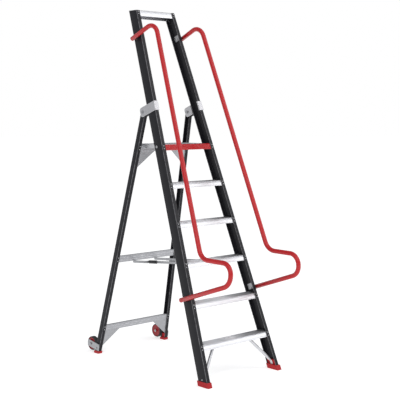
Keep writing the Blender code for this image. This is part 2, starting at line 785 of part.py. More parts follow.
def wheel_plate_shape(side, near, far, spare=0.0):
    """The wheel plate's outline between two distances from the middle of the ladder."""
    ahead = -WHEEL_BACK - spare
    behind = WHEEL_PLATE_TAIL + spare
    half = WHEEL_PLATE_HEIGHT / 2 + spare
    axis = Vector((0.0, cos(WHEEL_PLATE_SLOPE), sin(WHEEL_PLATE_SLOPE)))
    up = Vector((0.0, -sin(WHEEL_PLATE_SLOPE), cos(WHEEL_PLATE_SLOPE)))
    corners = [(ahead, -half), (behind, -half), (behind, half), (ahead, half)]
    loops = []
    for x in (near, far):
        middle = WHEEL_CENTRE + AXLE_X * (side * x)
        loops.append([middle + axis * along + up * across for along, across in corners])
    return loft(loops)


def rear_foot(name, side, body, finish_of):
    """A boot whose outer wall is cut away round the wheel plate."""
    channel = (LEG_FLANGE, LEG_DEPTH, LEG_WALL)
    near = leg_half_width(0.0) - WHEEL_PLATE_SHEET
    notch = wheel_plate_shape(side, near, 2 * near, RUNNING)
    cuts = [("DIFFERENCE", notch)]
    return boot(name, leg_point, side, channel, REAR_FOOT_WALLS, REAR_FOOT_HEIGHT, body, finish_of, cuts)


def wheel_plate(name, side, body, finish_of):
    """A plate on the leg's outer face that carries the axle behind the leg."""
    y_bolt, z_bolt = wheel_bolt_place()
    outer = leg_half_width(0.0) + GAP
    axle_place = WHEEL_CENTRE + AXLE_X * (side * outer)
    bolt_place = Vector((side * outer, y_bolt, z_bolt))
    cuts = [hole(place, AXLE_X, AXLE_RADIUS, 2 * WHEEL_PLATE_SHEET) for place in (axle_place, bolt_place)]
    shape = wheel_plate_shape(side, outer, outer + WHEEL_PLATE_SHEET)
    return finish(name, shape, finish_of, body, cuts=cuts)


def wheel_inner_x():
    return leg_half_width(0.0) - WHEEL_INSET - WHEEL_WIDTH


def wheel_axle(name, side, body, finish_of):
    """The axle bolt, its head outside the plate and its cap beyond the wheel."""
    plate_out = leg_half_width(0.0) + GAP + WHEEL_PLATE_SHEET + RUNNING
    cap_x = wheel_inner_x() - 2 * RUNNING
    shape = bolt(WHEEL_CENTRE + AXLE_X * (side * plate_out), -AXLE_X * side, plate_out - cap_x, AXLE_RADIUS)
    return finish(name, shape, finish_of, body, smooth=True)


def wheel_hub(name, side, body, finish_of):
    """A dished red hub turned about the axle."""
    inner = wheel_inner_x()
    half = WHEEL_WIDTH / 2
    rim = WHEEL_RADIUS - TYRE_THICKNESS
    one_face = [
        (half, HUB_BORE),
        (half, BOSS_RADIUS),
        (half - RIM_DISH, BOSS_RADIUS + RIM_DISH / 3),
        (half - RIM_DISH, rim - RIM_DISH),
        (half - RIM_DISH / 5, rim - RIM_DISH / 3),
        (half - RIM_DISH / 5, rim),
    ]
    profile = one_face + [(-along, radius) for along, radius in reversed(one_face)]
    centre = WHEEL_CENTRE + AXLE_X * (side * (inner + half))
    return finish(name, ring_turned(centre, AXLE_X, profile, 24), finish_of, body, smooth=True)


def wheel_tyre(name, side, body, finish_of):
    """A solid rubber tyre with a crowned tread."""
    inner = wheel_inner_x()
    half = WHEEL_WIDTH / 2
    seat = WHEEL_RADIUS - TYRE_THICKNESS + GAP
    one_side = [
        (half - TYRE_CROWN / 3, seat),
        (half, seat + TYRE_CROWN),
        (half - TYRE_CROWN, WHEEL_RADIUS - TYRE_CROWN / 2),
        (half - 3 * TYRE_CROWN, WHEEL_RADIUS),
    ]
    profile = one_side + [(-along, radius) for along, radius in reversed(one_side)]
    centre = WHEEL_CENTRE + AXLE_X * (side * (inner + half))
    return finish(name, ring_turned(centre, AXLE_X, profile, 32), finish_of, body, smooth=True)


# Platform deck

def deck_half_width(y):
    """Half the deck's width, drawn in towards its back so that it still fits when it stands up."""
    risen = DECK_PIVOT_Z + (y - DECK_PIVOT.y) * cos(STILE_LEAN)
    return front_half_width(max(risen, PLATFORM_Z)) - STILE_FLANGE - DECK_SIDE_GAP


def platform_deck(body, finish_of):
    """A tray of sheet with turned-down walls; its back edge rests on the upper crossbar."""
    front = DECK_PIVOT.y - DECK_NOSE
    back = front + DECK_LENGTH
    lip = leg_front_y(UPPER_BAR_TOP) + DECK_LIP
    top = PLATFORM_Z
    under = top - DECK_SHEET
    low = top - DECK_HEIGHT

    def slab(inset, y_back, low_z, high_z):
        loops = []
        for z in (low_z, high_z):
            corners = [(-1, front + inset), (1, front + inset), (1, y_back), (-1, y_back)]
            loops.append([Vector((s * (deck_half_width(y) - inset), y, z)) for s, y in corners])
        return loft(loops)

    plate = slab(0.0, lip, under, top)
    walls = slab(0.0, back, low, top - DECK_SHEET / 2)
    room = slab(DECK_WALL, back - DECK_WALL, low - DECK_WALL, under)
    bore = hole(DECK_PIVOT, AXLE_X, DECK_PIN_RADIUS, front_half_width(0.0))
    cuts = [("DIFFERENCE", room), ("UNION", plate), bore]
    return finish("platform_deck", walls, finish_of, body, cuts=cuts)


# Folding stay

def stay_plate(outline, near, far, side):
    """A flat shape from (distance along the stay, height) pairs, between two distances from the middle."""
    loops = []
    for x in (near, far):
        start = STAY_PIVOT + AXLE_X * (side * x)
        loops.append([start + STAY_DIRECTION * along + STAY_UP * height for along, height in outline])
    return loft(loops)


def box_outline(start, end, half):
    return [(start, -half), (end, -half), (end, half), (start, half)]


def stay_arm(name, side, body, finish_of):
    """The long front link: a flat bar from the lug to the knee, with a shouldered rivet for the hook."""
    x = STAY_SPACING / 2
    outline = box_outline(-STAY_HALF, STAY_KNEE + STAY_HALF, STAY_HALF)
    shape = stay_plate(outline, x - STAY_SHEET / 2, x + STAY_SHEET / 2, side)
    eye = hole(STAY_PIVOT + AXLE_X * (side * x), AXLE_X, STAY_PIN_RADIUS, STAY_SHEET)
    knee = STAY_KNEE_POINT + AXLE_X * (side * x)
    shoulder = HOOK_OFFSET - RUNNING
    end = HOOK_OFFSET + STAY_SHEET + RUNNING
    profile = [
        (0.0, 1.5 * STAY_PIN_RADIUS),
        (shoulder, 1.5 * STAY_PIN_RADIUS),
        (shoulder, STAY_PIN_RADIUS),
        (end, STAY_PIN_RADIUS),
        (end, 1.5 * STAY_PIN_RADIUS),
        (end + RIVET_HEAD, 1.5 * STAY_PIN_RADIUS),
    ]
    pin = turned(knee, AXLE_X * side, profile, 16)
    return finish(name, shape, finish_of, body, cuts=[eye, ("UNION", pin)])


def stay_hook(name, side, body, finish_of):
    """The short rear link, which hooks up behind the middle crossbar."""
    x = STAY_SPACING / 2 + HOOK_OFFSET
    half = STAY_HALF
    back = tan(LEG_LEAN + STAY_SLOPE) * HOOK_RISE
    outline = [
        (STAY_KNEE - half, -half),
        (STAY_REACH, -half),
        (STAY_REACH + HOOK_NOSE, half),
        (STAY_REACH + HOOK_NOSE - back, half + HOOK_RISE),
        (STAY_REACH - back, half + HOOK_RISE),
        (STAY_REACH, half),
        (STAY_KNEE - half, half),
    ]
    shape = stay_plate(outline, x, x + STAY_SHEET, side)
    eye = hole(STAY_KNEE_POINT + AXLE_X * (side * x), AXLE_X, STAY_PIN_RADIUS, 2 * STAY_SHEET)
    return finish(name, shape, finish_of, body, cuts=[eye])


def stay_grip(side, body, finish_of):
    """A soft sleeve pushed over one arm, to pull the stay up by."""
    x = STAY_SPACING / 2
    end = STAY_KNEE - GRIP_BEFORE_KNEE
    start = STAY_PIVOT + STAY_DIRECTION * (end - GRIP_LENGTH) + AXLE_X * (side * x)
    shape = turned(start, STAY_DIRECTION, [(0.0, GRIP_RADIUS), (GRIP_LENGTH, GRIP_RADIUS)])
    half = STAY_HALF + GAP
    room = STAY_SHEET / 2 + GAP
    slot = stay_plate(box_outline(end - 2 * GRIP_LENGTH, end + GRIP_LENGTH, half), x - room, x + room, side)
    return finish("stay_grip", shape, finish_of, body, smooth=True, cuts=[("DIFFERENCE", slot)])


# Assembly

def finishes():
    return {
        "fibreglass": material("fibreglass", (0.030, 0.030, 0.034), 0.42),
        "aluminium": material("aluminium", (0.72, 0.73, 0.75), 0.38, 1.0),
        "steel": material("zinc_steel", (0.60, 0.61, 0.63), 0.35, 1.0),
        "red": material("red_coat", (0.60, 0.035, 0.030), 0.35),
        "red_rubber": material("red_rubber", (0.42, 0.012, 0.020), 0.60),
        "black": material("black_plastic", (0.020, 0.020, 0.022), 0.50),
        "tyre": material("tyre_rubber", (0.035, 0.033, 0.035), 0.75),
    }


def build_front(body, look):
    for number in range(1, STEP_COUNT + 1):
        step(f"step_{number}", number, body, look["aluminium"])
    platform_front(body, look["red"])
    top_bar(body, look["aluminium"])
    for word, side in SIDES.items():
        stile(f"front_stile_{word}", side, body, look["fibreglass"])
        hinge_bracket(f"hinge_bracket_{word}", side, body, look["aluminium"])
        hinge_plate(f"hinge_plate_{word}", side, body, look["aluminium"])
        hinge_bolt(f"hinge_bolt_{word}", side, body, look["steel"])
        handrail(f"handrail_{word}", side, body, look["red"])
        runs = (("upper", RAIL_TOP), ("lower", RAIL_FOOT))
        for (level, along), tilt in zip(runs, RAIL_TILTS):
            rail_spacer(f"rail_spacer_{level}_{word}", side, along, tilt, body, look["black"])
            rail_clamp(f"rail_clamp_{level}_{word}", side, along, body, look["steel"])
        brace_strut(f"brace_strut_{word}", side, body, look["aluminium"])
        front_foot(f"front_foot_{word}", side, body, look["red_rubber"])
        platform_pivot(f"platform_pivot_{word}", side, body, look["steel"])
        stay_lug(f"stay_lug_{word}", side, body, look["steel"])


def build_rear(body, look):
    crossbar("upper_crossbar", UPPER_BAR_TOP, UPPER_BAR_HEIGHT, body, look["aluminium"])
    crossbar("mid_crossbar", MID_BAR_TOP, MID_BAR_HEIGHT, body, look["aluminium"])
    crossbar("lower_crossbar", LOWER_BAR_TOP, LOWER_BAR_HEIGHT, body, look["aluminium"])
    for word, side in SIDES.items():
        rear_leg(f"rear_leg_{word}", side, body, look["fibreglass"])
        leg_bush(f"leg_bush_{word}", side, body, look["steel"])
        gusset(f"upper_gusset_{word}", side, UPPER_BAR_TOP - UPPER_BAR_HEIGHT, body, look["steel"])
        gusset(f"lower_gusset_{word}", side, LOWER_BAR_TOP - LOWER_BAR_HEIGHT, body, look["steel"])
        wheel_plate(f"wheel_plate_{word}", side, body, look["aluminium"])
        wheel_axle(f"wheel_axle_{word}", side, body, look["steel"])
        rear_foot(f"rear_foot_{word}", side, body, look["red_rubber"])


def build_moving(front, rear, look):
    deck = empty("platform", DECK_PIVOT, front)
    platform_deck(deck, look["aluminium"])
    arms = empty("stay_front", STAY_PIVOT, front)
    hooks = empty("stay_rear", STAY_KNEE_POINT, arms)
    stay_grip(SIDES["left"], arms, look["black"])
    for word, side in SIDES.items():
        stay_arm(f"stay_arm_{word}", side, arms, look["steel"])
        stay_hook(f"stay_hook_{word}", side, hooks, look["steel"])
        wheel = empty(f"wheel_{word}", WHEEL_CENTRE, rear)
        wheel_hub(f"wheel_hub_{word}", side, wheel, look["red_rubber"])
        wheel_tyre(f"wheel_tyre_{word}", side, wheel, look["tyre"])


def centre_on_footprint(root):
    """Moves the whole ladder so that its box stands centred over the origin."""
    bpy.context.view_layer.update()
    graph = bpy.context.evaluated_depsgraph_get()
    ys = []
    for item in bpy.data.objects:
        if item.type == "MESH" and not item.hide_render:
            shown = item.evaluated_get(graph)
            ys += [(shown.matrix_world @ vertex.co).y for vertex in shown.data.vertices]
    root.location.y -= (min(ys) + max(ys)) / 2


def build():
    clear_scene()
    look = finishes()
    front = empty("front_frame", Vector())
    rear = empty("rear_frame", HINGE, front)
    build_front(front, look)
    build_rear(rear, look)
    build_moving(front, rear, look)
    centre_on_footprint(front)


build()
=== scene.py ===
from math import cos, pi, radians, sin, tan

import bmesh
import bpy
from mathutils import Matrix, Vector


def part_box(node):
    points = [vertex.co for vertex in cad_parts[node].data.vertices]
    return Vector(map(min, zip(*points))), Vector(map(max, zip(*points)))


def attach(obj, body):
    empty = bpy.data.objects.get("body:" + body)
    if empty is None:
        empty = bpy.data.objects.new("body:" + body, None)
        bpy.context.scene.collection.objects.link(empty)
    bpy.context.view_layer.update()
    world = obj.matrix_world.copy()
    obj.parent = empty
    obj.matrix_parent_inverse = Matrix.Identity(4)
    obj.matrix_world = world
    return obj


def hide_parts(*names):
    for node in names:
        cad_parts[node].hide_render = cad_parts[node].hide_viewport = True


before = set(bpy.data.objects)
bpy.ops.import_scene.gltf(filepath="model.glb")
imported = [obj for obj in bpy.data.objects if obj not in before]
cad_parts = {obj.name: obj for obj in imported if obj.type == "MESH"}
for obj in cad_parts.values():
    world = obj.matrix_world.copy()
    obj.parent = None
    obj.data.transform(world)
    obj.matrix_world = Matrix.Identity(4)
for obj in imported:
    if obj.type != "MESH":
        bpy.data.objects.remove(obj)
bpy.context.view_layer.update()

SIDES = {"left": -1, "right": 1}


# Studio: a pale floor that runs out of sight, an even white surround, one broad soft sun and two
# soft boxes, the large one to the right so that it shines back off the step fronts. The camera
# stands level with the platform, a little over six metres off the ladder's left front corner.

CAMERA_PLACE = Vector((-4.0554, -4.5647, 1.6367))
CAMERA_TURN = radians(-42.33)
CAMERA_DIP = radians(5.2447)
LENS = 84.87
WHITE = (1.0, 1.0, 1.0, 1.0)
SURROUND = 0.50
SURROUND_TINT = (0.97, 0.98, 1.0, 1.0)
FLOOR_RADIUS = 60.0
FLOOR_SIDES = 64
FLOOR_TONE = (0.70, 0.70, 0.70, 1.0)
FLOOR_ROUGHNESS = 0.9
FLOOR_GLOW = 0.56
LIT_PLACE = Vector((0.0, 0.0, 1.2))
KEY_PLACE = Vector((3.6, -3.6, 3.8))
KEY_SIZE = (3.2, 4.6)
KEY_POWER = 100.0
FILL_PLACE = Vector((-4.5, -2.5, 2.6))
FILL_SIZE = (1.6, 2.4)
FILL_POWER = 22.0
SUN_PLACE = Vector((-3.0, -4.0, 6.0))
SUN_TARGET = Vector((0.0, 0.0, 0.5))
SUN_STRENGTH = 0.9
SUN_SPREAD = radians(70)


def add(tree, kind, inputs=None, **settings):
    """A node of a shader or geometry tree, with its settings, its values and its incoming links."""
    made = tree.nodes.new(kind)
    for key, value in settings.items():
        setattr(made, key, value)
    for key, value in (inputs or {}).items():
        if isinstance(value, bpy.types.NodeSocket):
            tree.links.new(value, made.inputs[key])
        else:
            made.inputs[key].default_value = value
    return made


def aim(thing, place, target):
    thing.location = place
    thing.rotation_euler = (target - place).to_track_quat("-Z", "Y").to_euler()
    bpy.context.collection.objects.link(thing)


def soft_box(name, place, size, power):
    lamp = bpy.data.lights.new(name, "AREA")
    lamp.shape = "RECTANGLE"
    lamp.size, lamp.size_y = size
    lamp.energy = power
    aim(bpy.data.objects.new(name, lamp), place, LIT_PLACE)


def surround():
    """Even white light; what the camera sees past the floor's edge is pure white."""
    world = bpy.data.worlds.new("surround")
    world.use_nodes = True
    tree = world.node_tree
    sky = tree.nodes["Background"]
    sky.inputs["Strength"].default_value = SURROUND
    sky.inputs["Color"].default_value = SURROUND_TINT
    seen = add(tree, "ShaderNodeBackground", {"Color": WHITE, "Strength": 1.0})
    ray = add(tree, "ShaderNodeLightPath")
    mixed = add(tree, "ShaderNodeMixShader", {0: ray.outputs["Is Camera Ray"]})
    tree.links.new(sky.outputs[0], mixed.inputs[1])
    tree.links.new(seen.outputs[0], mixed.inputs[2])
    tree.links.new(mixed.outputs[0], tree.nodes["World Output"].inputs["Surface"])
    bpy.context.scene.world = world


def studio_floor():
    shape = bmesh.new()
    bmesh.ops.create_circle(shape, cap_ends=True, segments=FLOOR_SIDES, radius=FLOOR_RADIUS)
    mesh = bpy.data.meshes.new("studio_floor")
    shape.to_mesh(mesh)
    shape.free()
    paint = bpy.data.materials.new("studio_floor")
    paint.use_nodes = True
    shader = paint.node_tree.nodes["Principled BSDF"]
    shader.inputs["Base Color"].default_value = FLOOR_TONE
    shader.inputs["Roughness"].default_value = FLOOR_ROUGHNESS
    shader.inputs["Emission Color"].default_value = WHITE
    shader.inputs["Emission Strength"].default_value = FLOOR_GLOW
    mesh.materials.append(paint)
    made = bpy.data.objects.new("studio_floor", mesh)
    bpy.context.collection.objects.link(made)


surround()
studio_floor()
soft_box("box_key", KEY_PLACE, KEY_SIZE, KEY_POWER)
soft_box("box_left", FILL_PLACE, FILL_SIZE, FILL_POWER)
sun = bpy.data.lights.new("broad_sun", "SUN")
sun.energy = SUN_STRENGTH
sun.angle = SUN_SPREAD
aim(bpy.data.objects.new("broad_sun", sun), SUN_PLACE, SUN_TARGET)
camera = bpy.data.cameras.new("camera")
camera.lens = LENS
back = Vector((sin(CAMERA_TURN) * cos(CAMERA_DIP), -cos(CAMERA_TURN) * cos(CAMERA_DIP), sin(CAMERA_DIP)))
viewer = bpy.data.objects.new("camera", camera)
aim(viewer, CAMERA_PLACE, CAMERA_PLACE - back)
bpy.context.scene.camera = viewer
bpy.context.scene.view_settings.view_transform = "Standard"


# Front stiles: two pultruded fibreglass channels, charcoal right through, webs outwards and mouths
# inwards. Their outer corners are round from the die, and the resin shows long fibre streaks. A paler
# line painted along each flange edge and round corner is a painted highlight, the sheen those rounds catch.

STILE_LEAN = radians(20.3)
STILE_SPLAY = radians(3.78)
STILE_DEPTH = 0.0775
STILE_FLANGE = 0.0265
STILE_WALL = 0.004
STILE_ROUND = 0.0045
SECTION_STEPS = 4
CHARCOAL = (0.0090, 0.0090, 0.0120)
CHARCOAL_STREAK = (0.0140, 0.0140, 0.0175)
# Painted highlight: the paler colour laid along the fibreglass flange edges and round corners.
RESIN_PAINTED_HIGHLIGHT = (0.17, 0.17, 0.18)
TONE_SPAN = (0.55, 1.45)
GRAIN_DETAIL = 5.0
GRAIN_ROUGHNESS = 0.62
SLOW_DETAIL = 3.0
# Noise that breaks up the lighter edge colour: wear on most finishes, a painted highlight on the
# fibreglass.
WEAR_AND_HIGHLIGHT_SCALE = 55.0
WEAR_AND_HIGHLIGHT_DETAIL = 4.0
WEAR_AND_HIGHLIGHT_LEVELS = (0.62, 0.66)
COAT_ROUGHNESS = 0.12
SMOOTH_UNDER = 38
RESIN_GRAIN = (0.0009, 0.0009, 0.16)
RESIN_ROUGH = (0.36, 0.46)
# The share of the round outer corner that carries the painted highlight.
HIGHLIGHT_ROUND_SPAN = (0.02, 0.7)

low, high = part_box("front_stile_left")
STILE_SOLE = low.z
STILE_TOP = high.z
STILE_FRONT_Y = low.y - tan(STILE_LEAN) * low.z
FLOOR_HALF = tan(STILE_SPLAY) * low.z - low.x


def front_half(z):
    return FLOOR_HALF - tan(STILE_SPLAY) * z


def on_stile(side, across, back, z):
    """A point of a stile: across inwards from its web, back from its front face, at height z."""
    y = STILE_FRONT_Y + tan(STILE_LEAN) * z + back / cos(STILE_LEAN)
    return Vector((side * (front_half(z) - across), y, z))


def finish(name, dark, light, grain, rough, turn=(0.0, 0.0, 0.0), metallic=0.0, mottle=0.12,
           relief=0.15, edge_wear_and_highlight=None, edge_wear_and_highlight_share=0.5, coat=0.0, shine=0.5):
    """A finish on object coordinates: grain sizes in metres, mottling, edges lightened where marked (rubbed
    wear on most finishes, a painted highlight on the fibreglass), fine relief.
    """
    made = bpy.data.materials.new(name)
    made.use_nodes = True
    tree = made.node_tree
    shader = tree.nodes["Principled BSDF"]
    shader.inputs["Metallic"].default_value = metallic
    shader.inputs["Coat Weight"].default_value = coat
    shader.inputs["Specular IOR Level"].default_value = shine
    shader.inputs["Coat Roughness"].default_value = COAT_ROUGHNESS
    place = add(tree, "ShaderNodeTexCoord").outputs["Object"]
    along = add(tree, "ShaderNodeMapping", {"Vector": place, "Rotation": turn, "Scale": grain},
                vector_type="TEXTURE")
    fine = add(tree, "ShaderNodeTexNoise", {"Vector": along.outputs[0], "Scale": 1.0,
                                            "Detail": GRAIN_DETAIL, "Roughness": GRAIN_ROUGHNESS})
    slow = add(tree, "ShaderNodeTexNoise", {"Vector": place, "Scale": 1 / mottle, "Detail": SLOW_DETAIL})
    both = add(tree, "ShaderNodeMath", {0: fine.outputs["Fac"], 1: slow.outputs["Fac"]}, operation="ADD")
    span = {"Value": both.outputs[0], "From Min": TONE_SPAN[0], "From Max": TONE_SPAN[1]}
    share = add(tree, "ShaderNodeMapRange", span)
    tone = add(tree, "ShaderNodeMix", {"Factor": share.outputs[0]}, data_type="RGBA")
    tone.inputs["A"].default_value = (*dark, 1.0)
    tone.inputs["B"].default_value = (*light, 1.0)
    tone = tone.outputs["Result"]
    # Marked edges take a lighter colour: real wear on most finishes, a painted highlight on the fibreglass.
    if edge_wear_and_highlight:
        edge = add(tree, "ShaderNodeAttribute", attribute_name="edge")
        broken = add(tree, "ShaderNodeTexNoise",
                     {"Vector": place, "Scale": WEAR_AND_HIGHLIGHT_SCALE, "Detail": WEAR_AND_HIGHLIGHT_DETAIL})
        cut = add(tree, "ShaderNodeMapRange", {"Value": broken.outputs["Fac"],
                                               "From Min": WEAR_AND_HIGHLIGHT_LEVELS[0] - edge_wear_and_highlight_share / 2,
                                               "From Max": WEAR_AND_HIGHLIGHT_LEVELS[1]})
        wear_and_highlight_mask = add(tree, "ShaderNodeMath", {0: edge.outputs["Fac"], 1: cut.outputs[0]},
                     operation="MULTIPLY")
        mixed = add(tree, "ShaderNodeMix", {"Factor": wear_and_highlight_mask.outputs[0]}, data_type="RGBA")
        tree.links.new(tone, mixed.inputs["A"])
        mixed.inputs["B"].default_value = (*edge_wear_and_highlight, 1.0)
        tone = mixed.outputs["Result"]
    tree.links.new(tone, shader.inputs["Base Color"])
    gloss = add(tree, "ShaderNodeMapRange", {**span, "To Min": rough[0], "To Max": rough[1]})
    tree.links.new(gloss.outputs[0], shader.inputs["Roughness"])
    bump = add(tree, "ShaderNodeBump",
               {"Height": fine.outputs["Fac"], "Strength": relief, "Distance": min(grain) / 2})
    tree.links.new(bump.outputs[0], shader.inputs["Normal"])
    return made


def arc(centre, radius, start, end, steps=SECTION_STEPS):
    """Points of a rounded corner in a section, with angles in degrees."""
    angles = [radians(start + (end - start) * i / steps) for i in range(steps + 1)]
    return [(centre[0] + radius * cos(a), centre[1] + radius * sin(a)) for a in angles]


def channel_section(flange, depth, wall, outer):
    """A channel with round outer corners, soft lips and a small inner radius, as (across, back) pairs."""
    lip = wall / 2
    inner = wall / 2
    near = depth - lip
    return [
        *arc((outer, outer), outer, 180, 270),
        *arc((flange - lip, lip), lip, 270, 450),
        *arc((wall + inner, wall + inner), inner, 270, 180),
        *arc((wall + inner, depth - wall - inner), inner, 180, 90),
        *arc((flange - lip, near), lip, 270, 450),
        *arc((outer, depth - outer), outer, 90, 180),
    ]


def loft(loops, closed=False):
    """Skins loops of equal length, capping both ends unless the loops close on themselves."""
    shape = bmesh.new()
    rings = [[shape.verts.new(point) for point in loop] for loop in loops]
    for near, far in zip(rings, rings[1:] + rings[:1] if closed else rings[1:]):
        for i in range(len(near)):
            shape.faces.new((near[i - 1], near[i], far[i], far[i - 1])).smooth = True
    if not closed:
        shape.faces.new(rings[0])
        shape.faces.new(rings[-1])
    return shape


def piece(name, shape, look, body, slot, *replaced, sharp=SMOOTH_UNDER):
    """Puts a shape drawn in ladder coordinates into the scene as a named piece on its body."""
    bmesh.ops.recalc_face_normals(shape, faces=shape.faces)
    for edge in shape.edges:
        edge.smooth = len(edge.link_faces) != 2 or edge.calc_face_angle() < radians(sharp)
    mesh = bpy.data.meshes.new(name)
    shape.to_mesh(mesh)
    shape.free()
    mesh.materials.append(look)
    made = bpy.data.objects.new(name, mesh)
    bpy.context.collection.objects.link(made)
    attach(made, body)
    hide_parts(*replaced)
    return made


def mark_highlit_lips(shape, at_lip):
    """Marks the faces whose middle lies on a lip, so that the finish paints a highlight there."""
    edge_wear_and_highlight = shape.loops.layers.float.new("edge")
    for face in shape.faces:
        if at_lip(face.calc_center_median()):
            for loop in face.loops:
                loop[edge_wear_and_highlight] = 1.0


def on_lip(across, flange, wall, outer):
    """Whether a point this far in from the web is on a flange's edge or a round outer corner."""
    return across > flange - wall / 2 or outer * HIGHLIGHT_ROUND_SPAN[0] < across < outer * HIGHLIGHT_ROUND_SPAN[1]


def at_stile_lip(point):
    return on_lip(front_half(point.z) - abs(point.x), STILE_FLANGE, STILE_WALL, STILE_ROUND)


# The fibreglass's paler edge colour is a painted highlight on the flange edges and round corners.
fibreglass = finish("charcoal_fibreglass", CHARCOAL, CHARCOAL_STREAK, RESIN_GRAIN, RESIN_ROUGH,
                    turn=(-STILE_LEAN, 0.0, 0.0), edge_wear_and_highlight=RESIN_PAINTED_HIGHLIGHT, edge_wear_and_highlight_share=0.9, relief=0.05, shine=0.22)
section = channel_section(STILE_FLANGE, STILE_DEPTH, STILE_WALL, STILE_ROUND)
for word, side in SIDES.items():
    ends = (STILE_SOLE, STILE_TOP)
    shape = loft([[on_stile(side, across, back, z) for across, back in section] for z in ends])
    mark_highlit_lips(shape, at_stile_lip)
    piece(f"stile_{word}", shape, fibreglass, "front_frame", "fibreglass", f"front_stile_{word}")


# Steps: five treads sawn from one aluminium extrusion, a tall plain nose in front, a lip turned in
# under each wall and a row of grip ribs along the top. Each is riveted between the stiles.

STEP_COUNT = 5
SHEET = 0.0025
STEP_LIP = 0.008
NOSE_DROP = 0.034
HEEL_DROP = 0.028
FIT = 0.0003
RIB_PITCH = 0.0052
RIB_RADIUS = 0.0011
RIB_RISE = 0.0007
RIB_SIDES = 8
NOSE_LINE = 0.0009
NOSE_GROOVES = (0.16, 0.84)
CORNER_STEPS = 3
LOOSE_SEED = 7
ALLOY_GRAIN = (0.30, 0.0012, 0.0012)
ALLOY = (0.55, 0.555, 0.58)
ALLOY_PALE = (0.68, 0.685, 0.705)
ALLOY_EDGE = (0.84, 0.84, 0.86)


def across_stiles(outline, half):
    """A section of (back, z) pairs laid level between the stiles."""
    loops = []
    for reach in (-half, half):
        places = [on_stile(0, 0.0, back, z) for back, z in outline]
        loops.append([Vector((reach, place.y, place.z)) for place in places])
    return loft(loops)


def tread_section(front, back, top, nose_drop, heel_drop, grooves=()):
    """The extrusion's outline: flat top, nose with grooves, and both walls turned in at the bottom."""
    nose = top - nose_drop
    heel = top - heel_drop
    flute = NOSE_LINE
    lines = []
    for share in grooves:
        z = top - nose_drop * share
        lines += [(front, z - 2 * flute), (front + flute, z - flute)]
        lines += [(front + flute, z + flute), (front, z + 2 * flute)]
    outline = [
        *arc((back - SHEET, top - SHEET), SHEET, 90, 0, CORNER_STEPS),
        (back, heel),
        (back - STEP_LIP, heel),
        (back - STEP_LIP, heel + SHEET),
        (back - SHEET, heel + SHEET),
        (back - SHEET, top - SHEET),
        (front + SHEET, top - SHEET),
        (front + SHEET, nose + SHEET),
        (front + STEP_LIP, nose + SHEET),
        (front + STEP_LIP, nose),
        *arc((front + SHEET / 2, nose + SHEET / 2), SHEET / 2, 270, 180, CORNER_STEPS),
        *sorted(lines, key=lambda point: point[1]),
        *arc((front + SHEET, top - SHEET), SHEET, 180, 90, CORNER_STEPS),
    ]
    return outline


def set_on_places():
    """The tree that sets one small part on every place, turned to face outwards and stretched to fit."""
    tree = bpy.data.node_groups.new("set_on_places", "GeometryNodeTree")
    wanted = {"Places": "Geometry", "Part": "Object", "Finish": "Material", "Loose Turn": "Float"}
    for label, kind in wanted.items():
        tree.interface.new_socket(label, in_out="INPUT", socket_type=f"NodeSocket{kind}")
    tree.interface.new_socket("Parts", in_out="OUTPUT", socket_type="NodeSocketGeometry")
    given = add(tree, "NodeGroupInput")
    facing = add(tree, "GeometryNodeInputNamedAttribute", {"Name": "facing"}, data_type="FLOAT_VECTOR")
    stretch = add(tree, "GeometryNodeInputNamedAttribute", {"Name": "stretch"}, data_type="FLOAT_VECTOR")
    outwards = add(tree, "FunctionNodeAlignRotationToVector",
                   {"Vector": facing.outputs["Attribute"]}, axis="Z")
    chance = add(tree, "FunctionNodeRandomValue",
                 {"Max": given.outputs["Loose Turn"], "Seed": LOOSE_SEED}, data_type="FLOAT")
    chance_turn = add(tree, "FunctionNodeAxisAngleToRotation", {"Axis": (0.0, 0.0, 1.0)})
    random_out = next(socket for socket in chance.outputs if socket.enabled)
    tree.links.new(random_out, chance_turn.inputs["Angle"])
    turn = add(tree, "FunctionNodeRotateRotation",
               {0: outwards.outputs[0], 1: chance_turn.outputs[0]}, rotation_space="LOCAL")
    part = add(tree, "GeometryNodeObjectInfo", {"Object": given.outputs["Part"]})
    placed = add(tree, "GeometryNodeInstanceOnPoints",
                 {"Points": given.outputs["Places"], "Instance": part.outputs["Geometry"],
                  "Rotation": turn.outputs[0], "Scale": stretch.outputs["Attribute"]})
    real = add(tree, "GeometryNodeRealizeInstances", {0: placed.outputs[0]})
    coated = add(tree, "GeometryNodeSetMaterial",
                 {"Geometry": real.outputs[0], "Material": given.outputs["Finish"]})
    add(tree, "NodeGroupOutput", {0: coated.outputs[0]})
    return tree


PLACING = set_on_places()


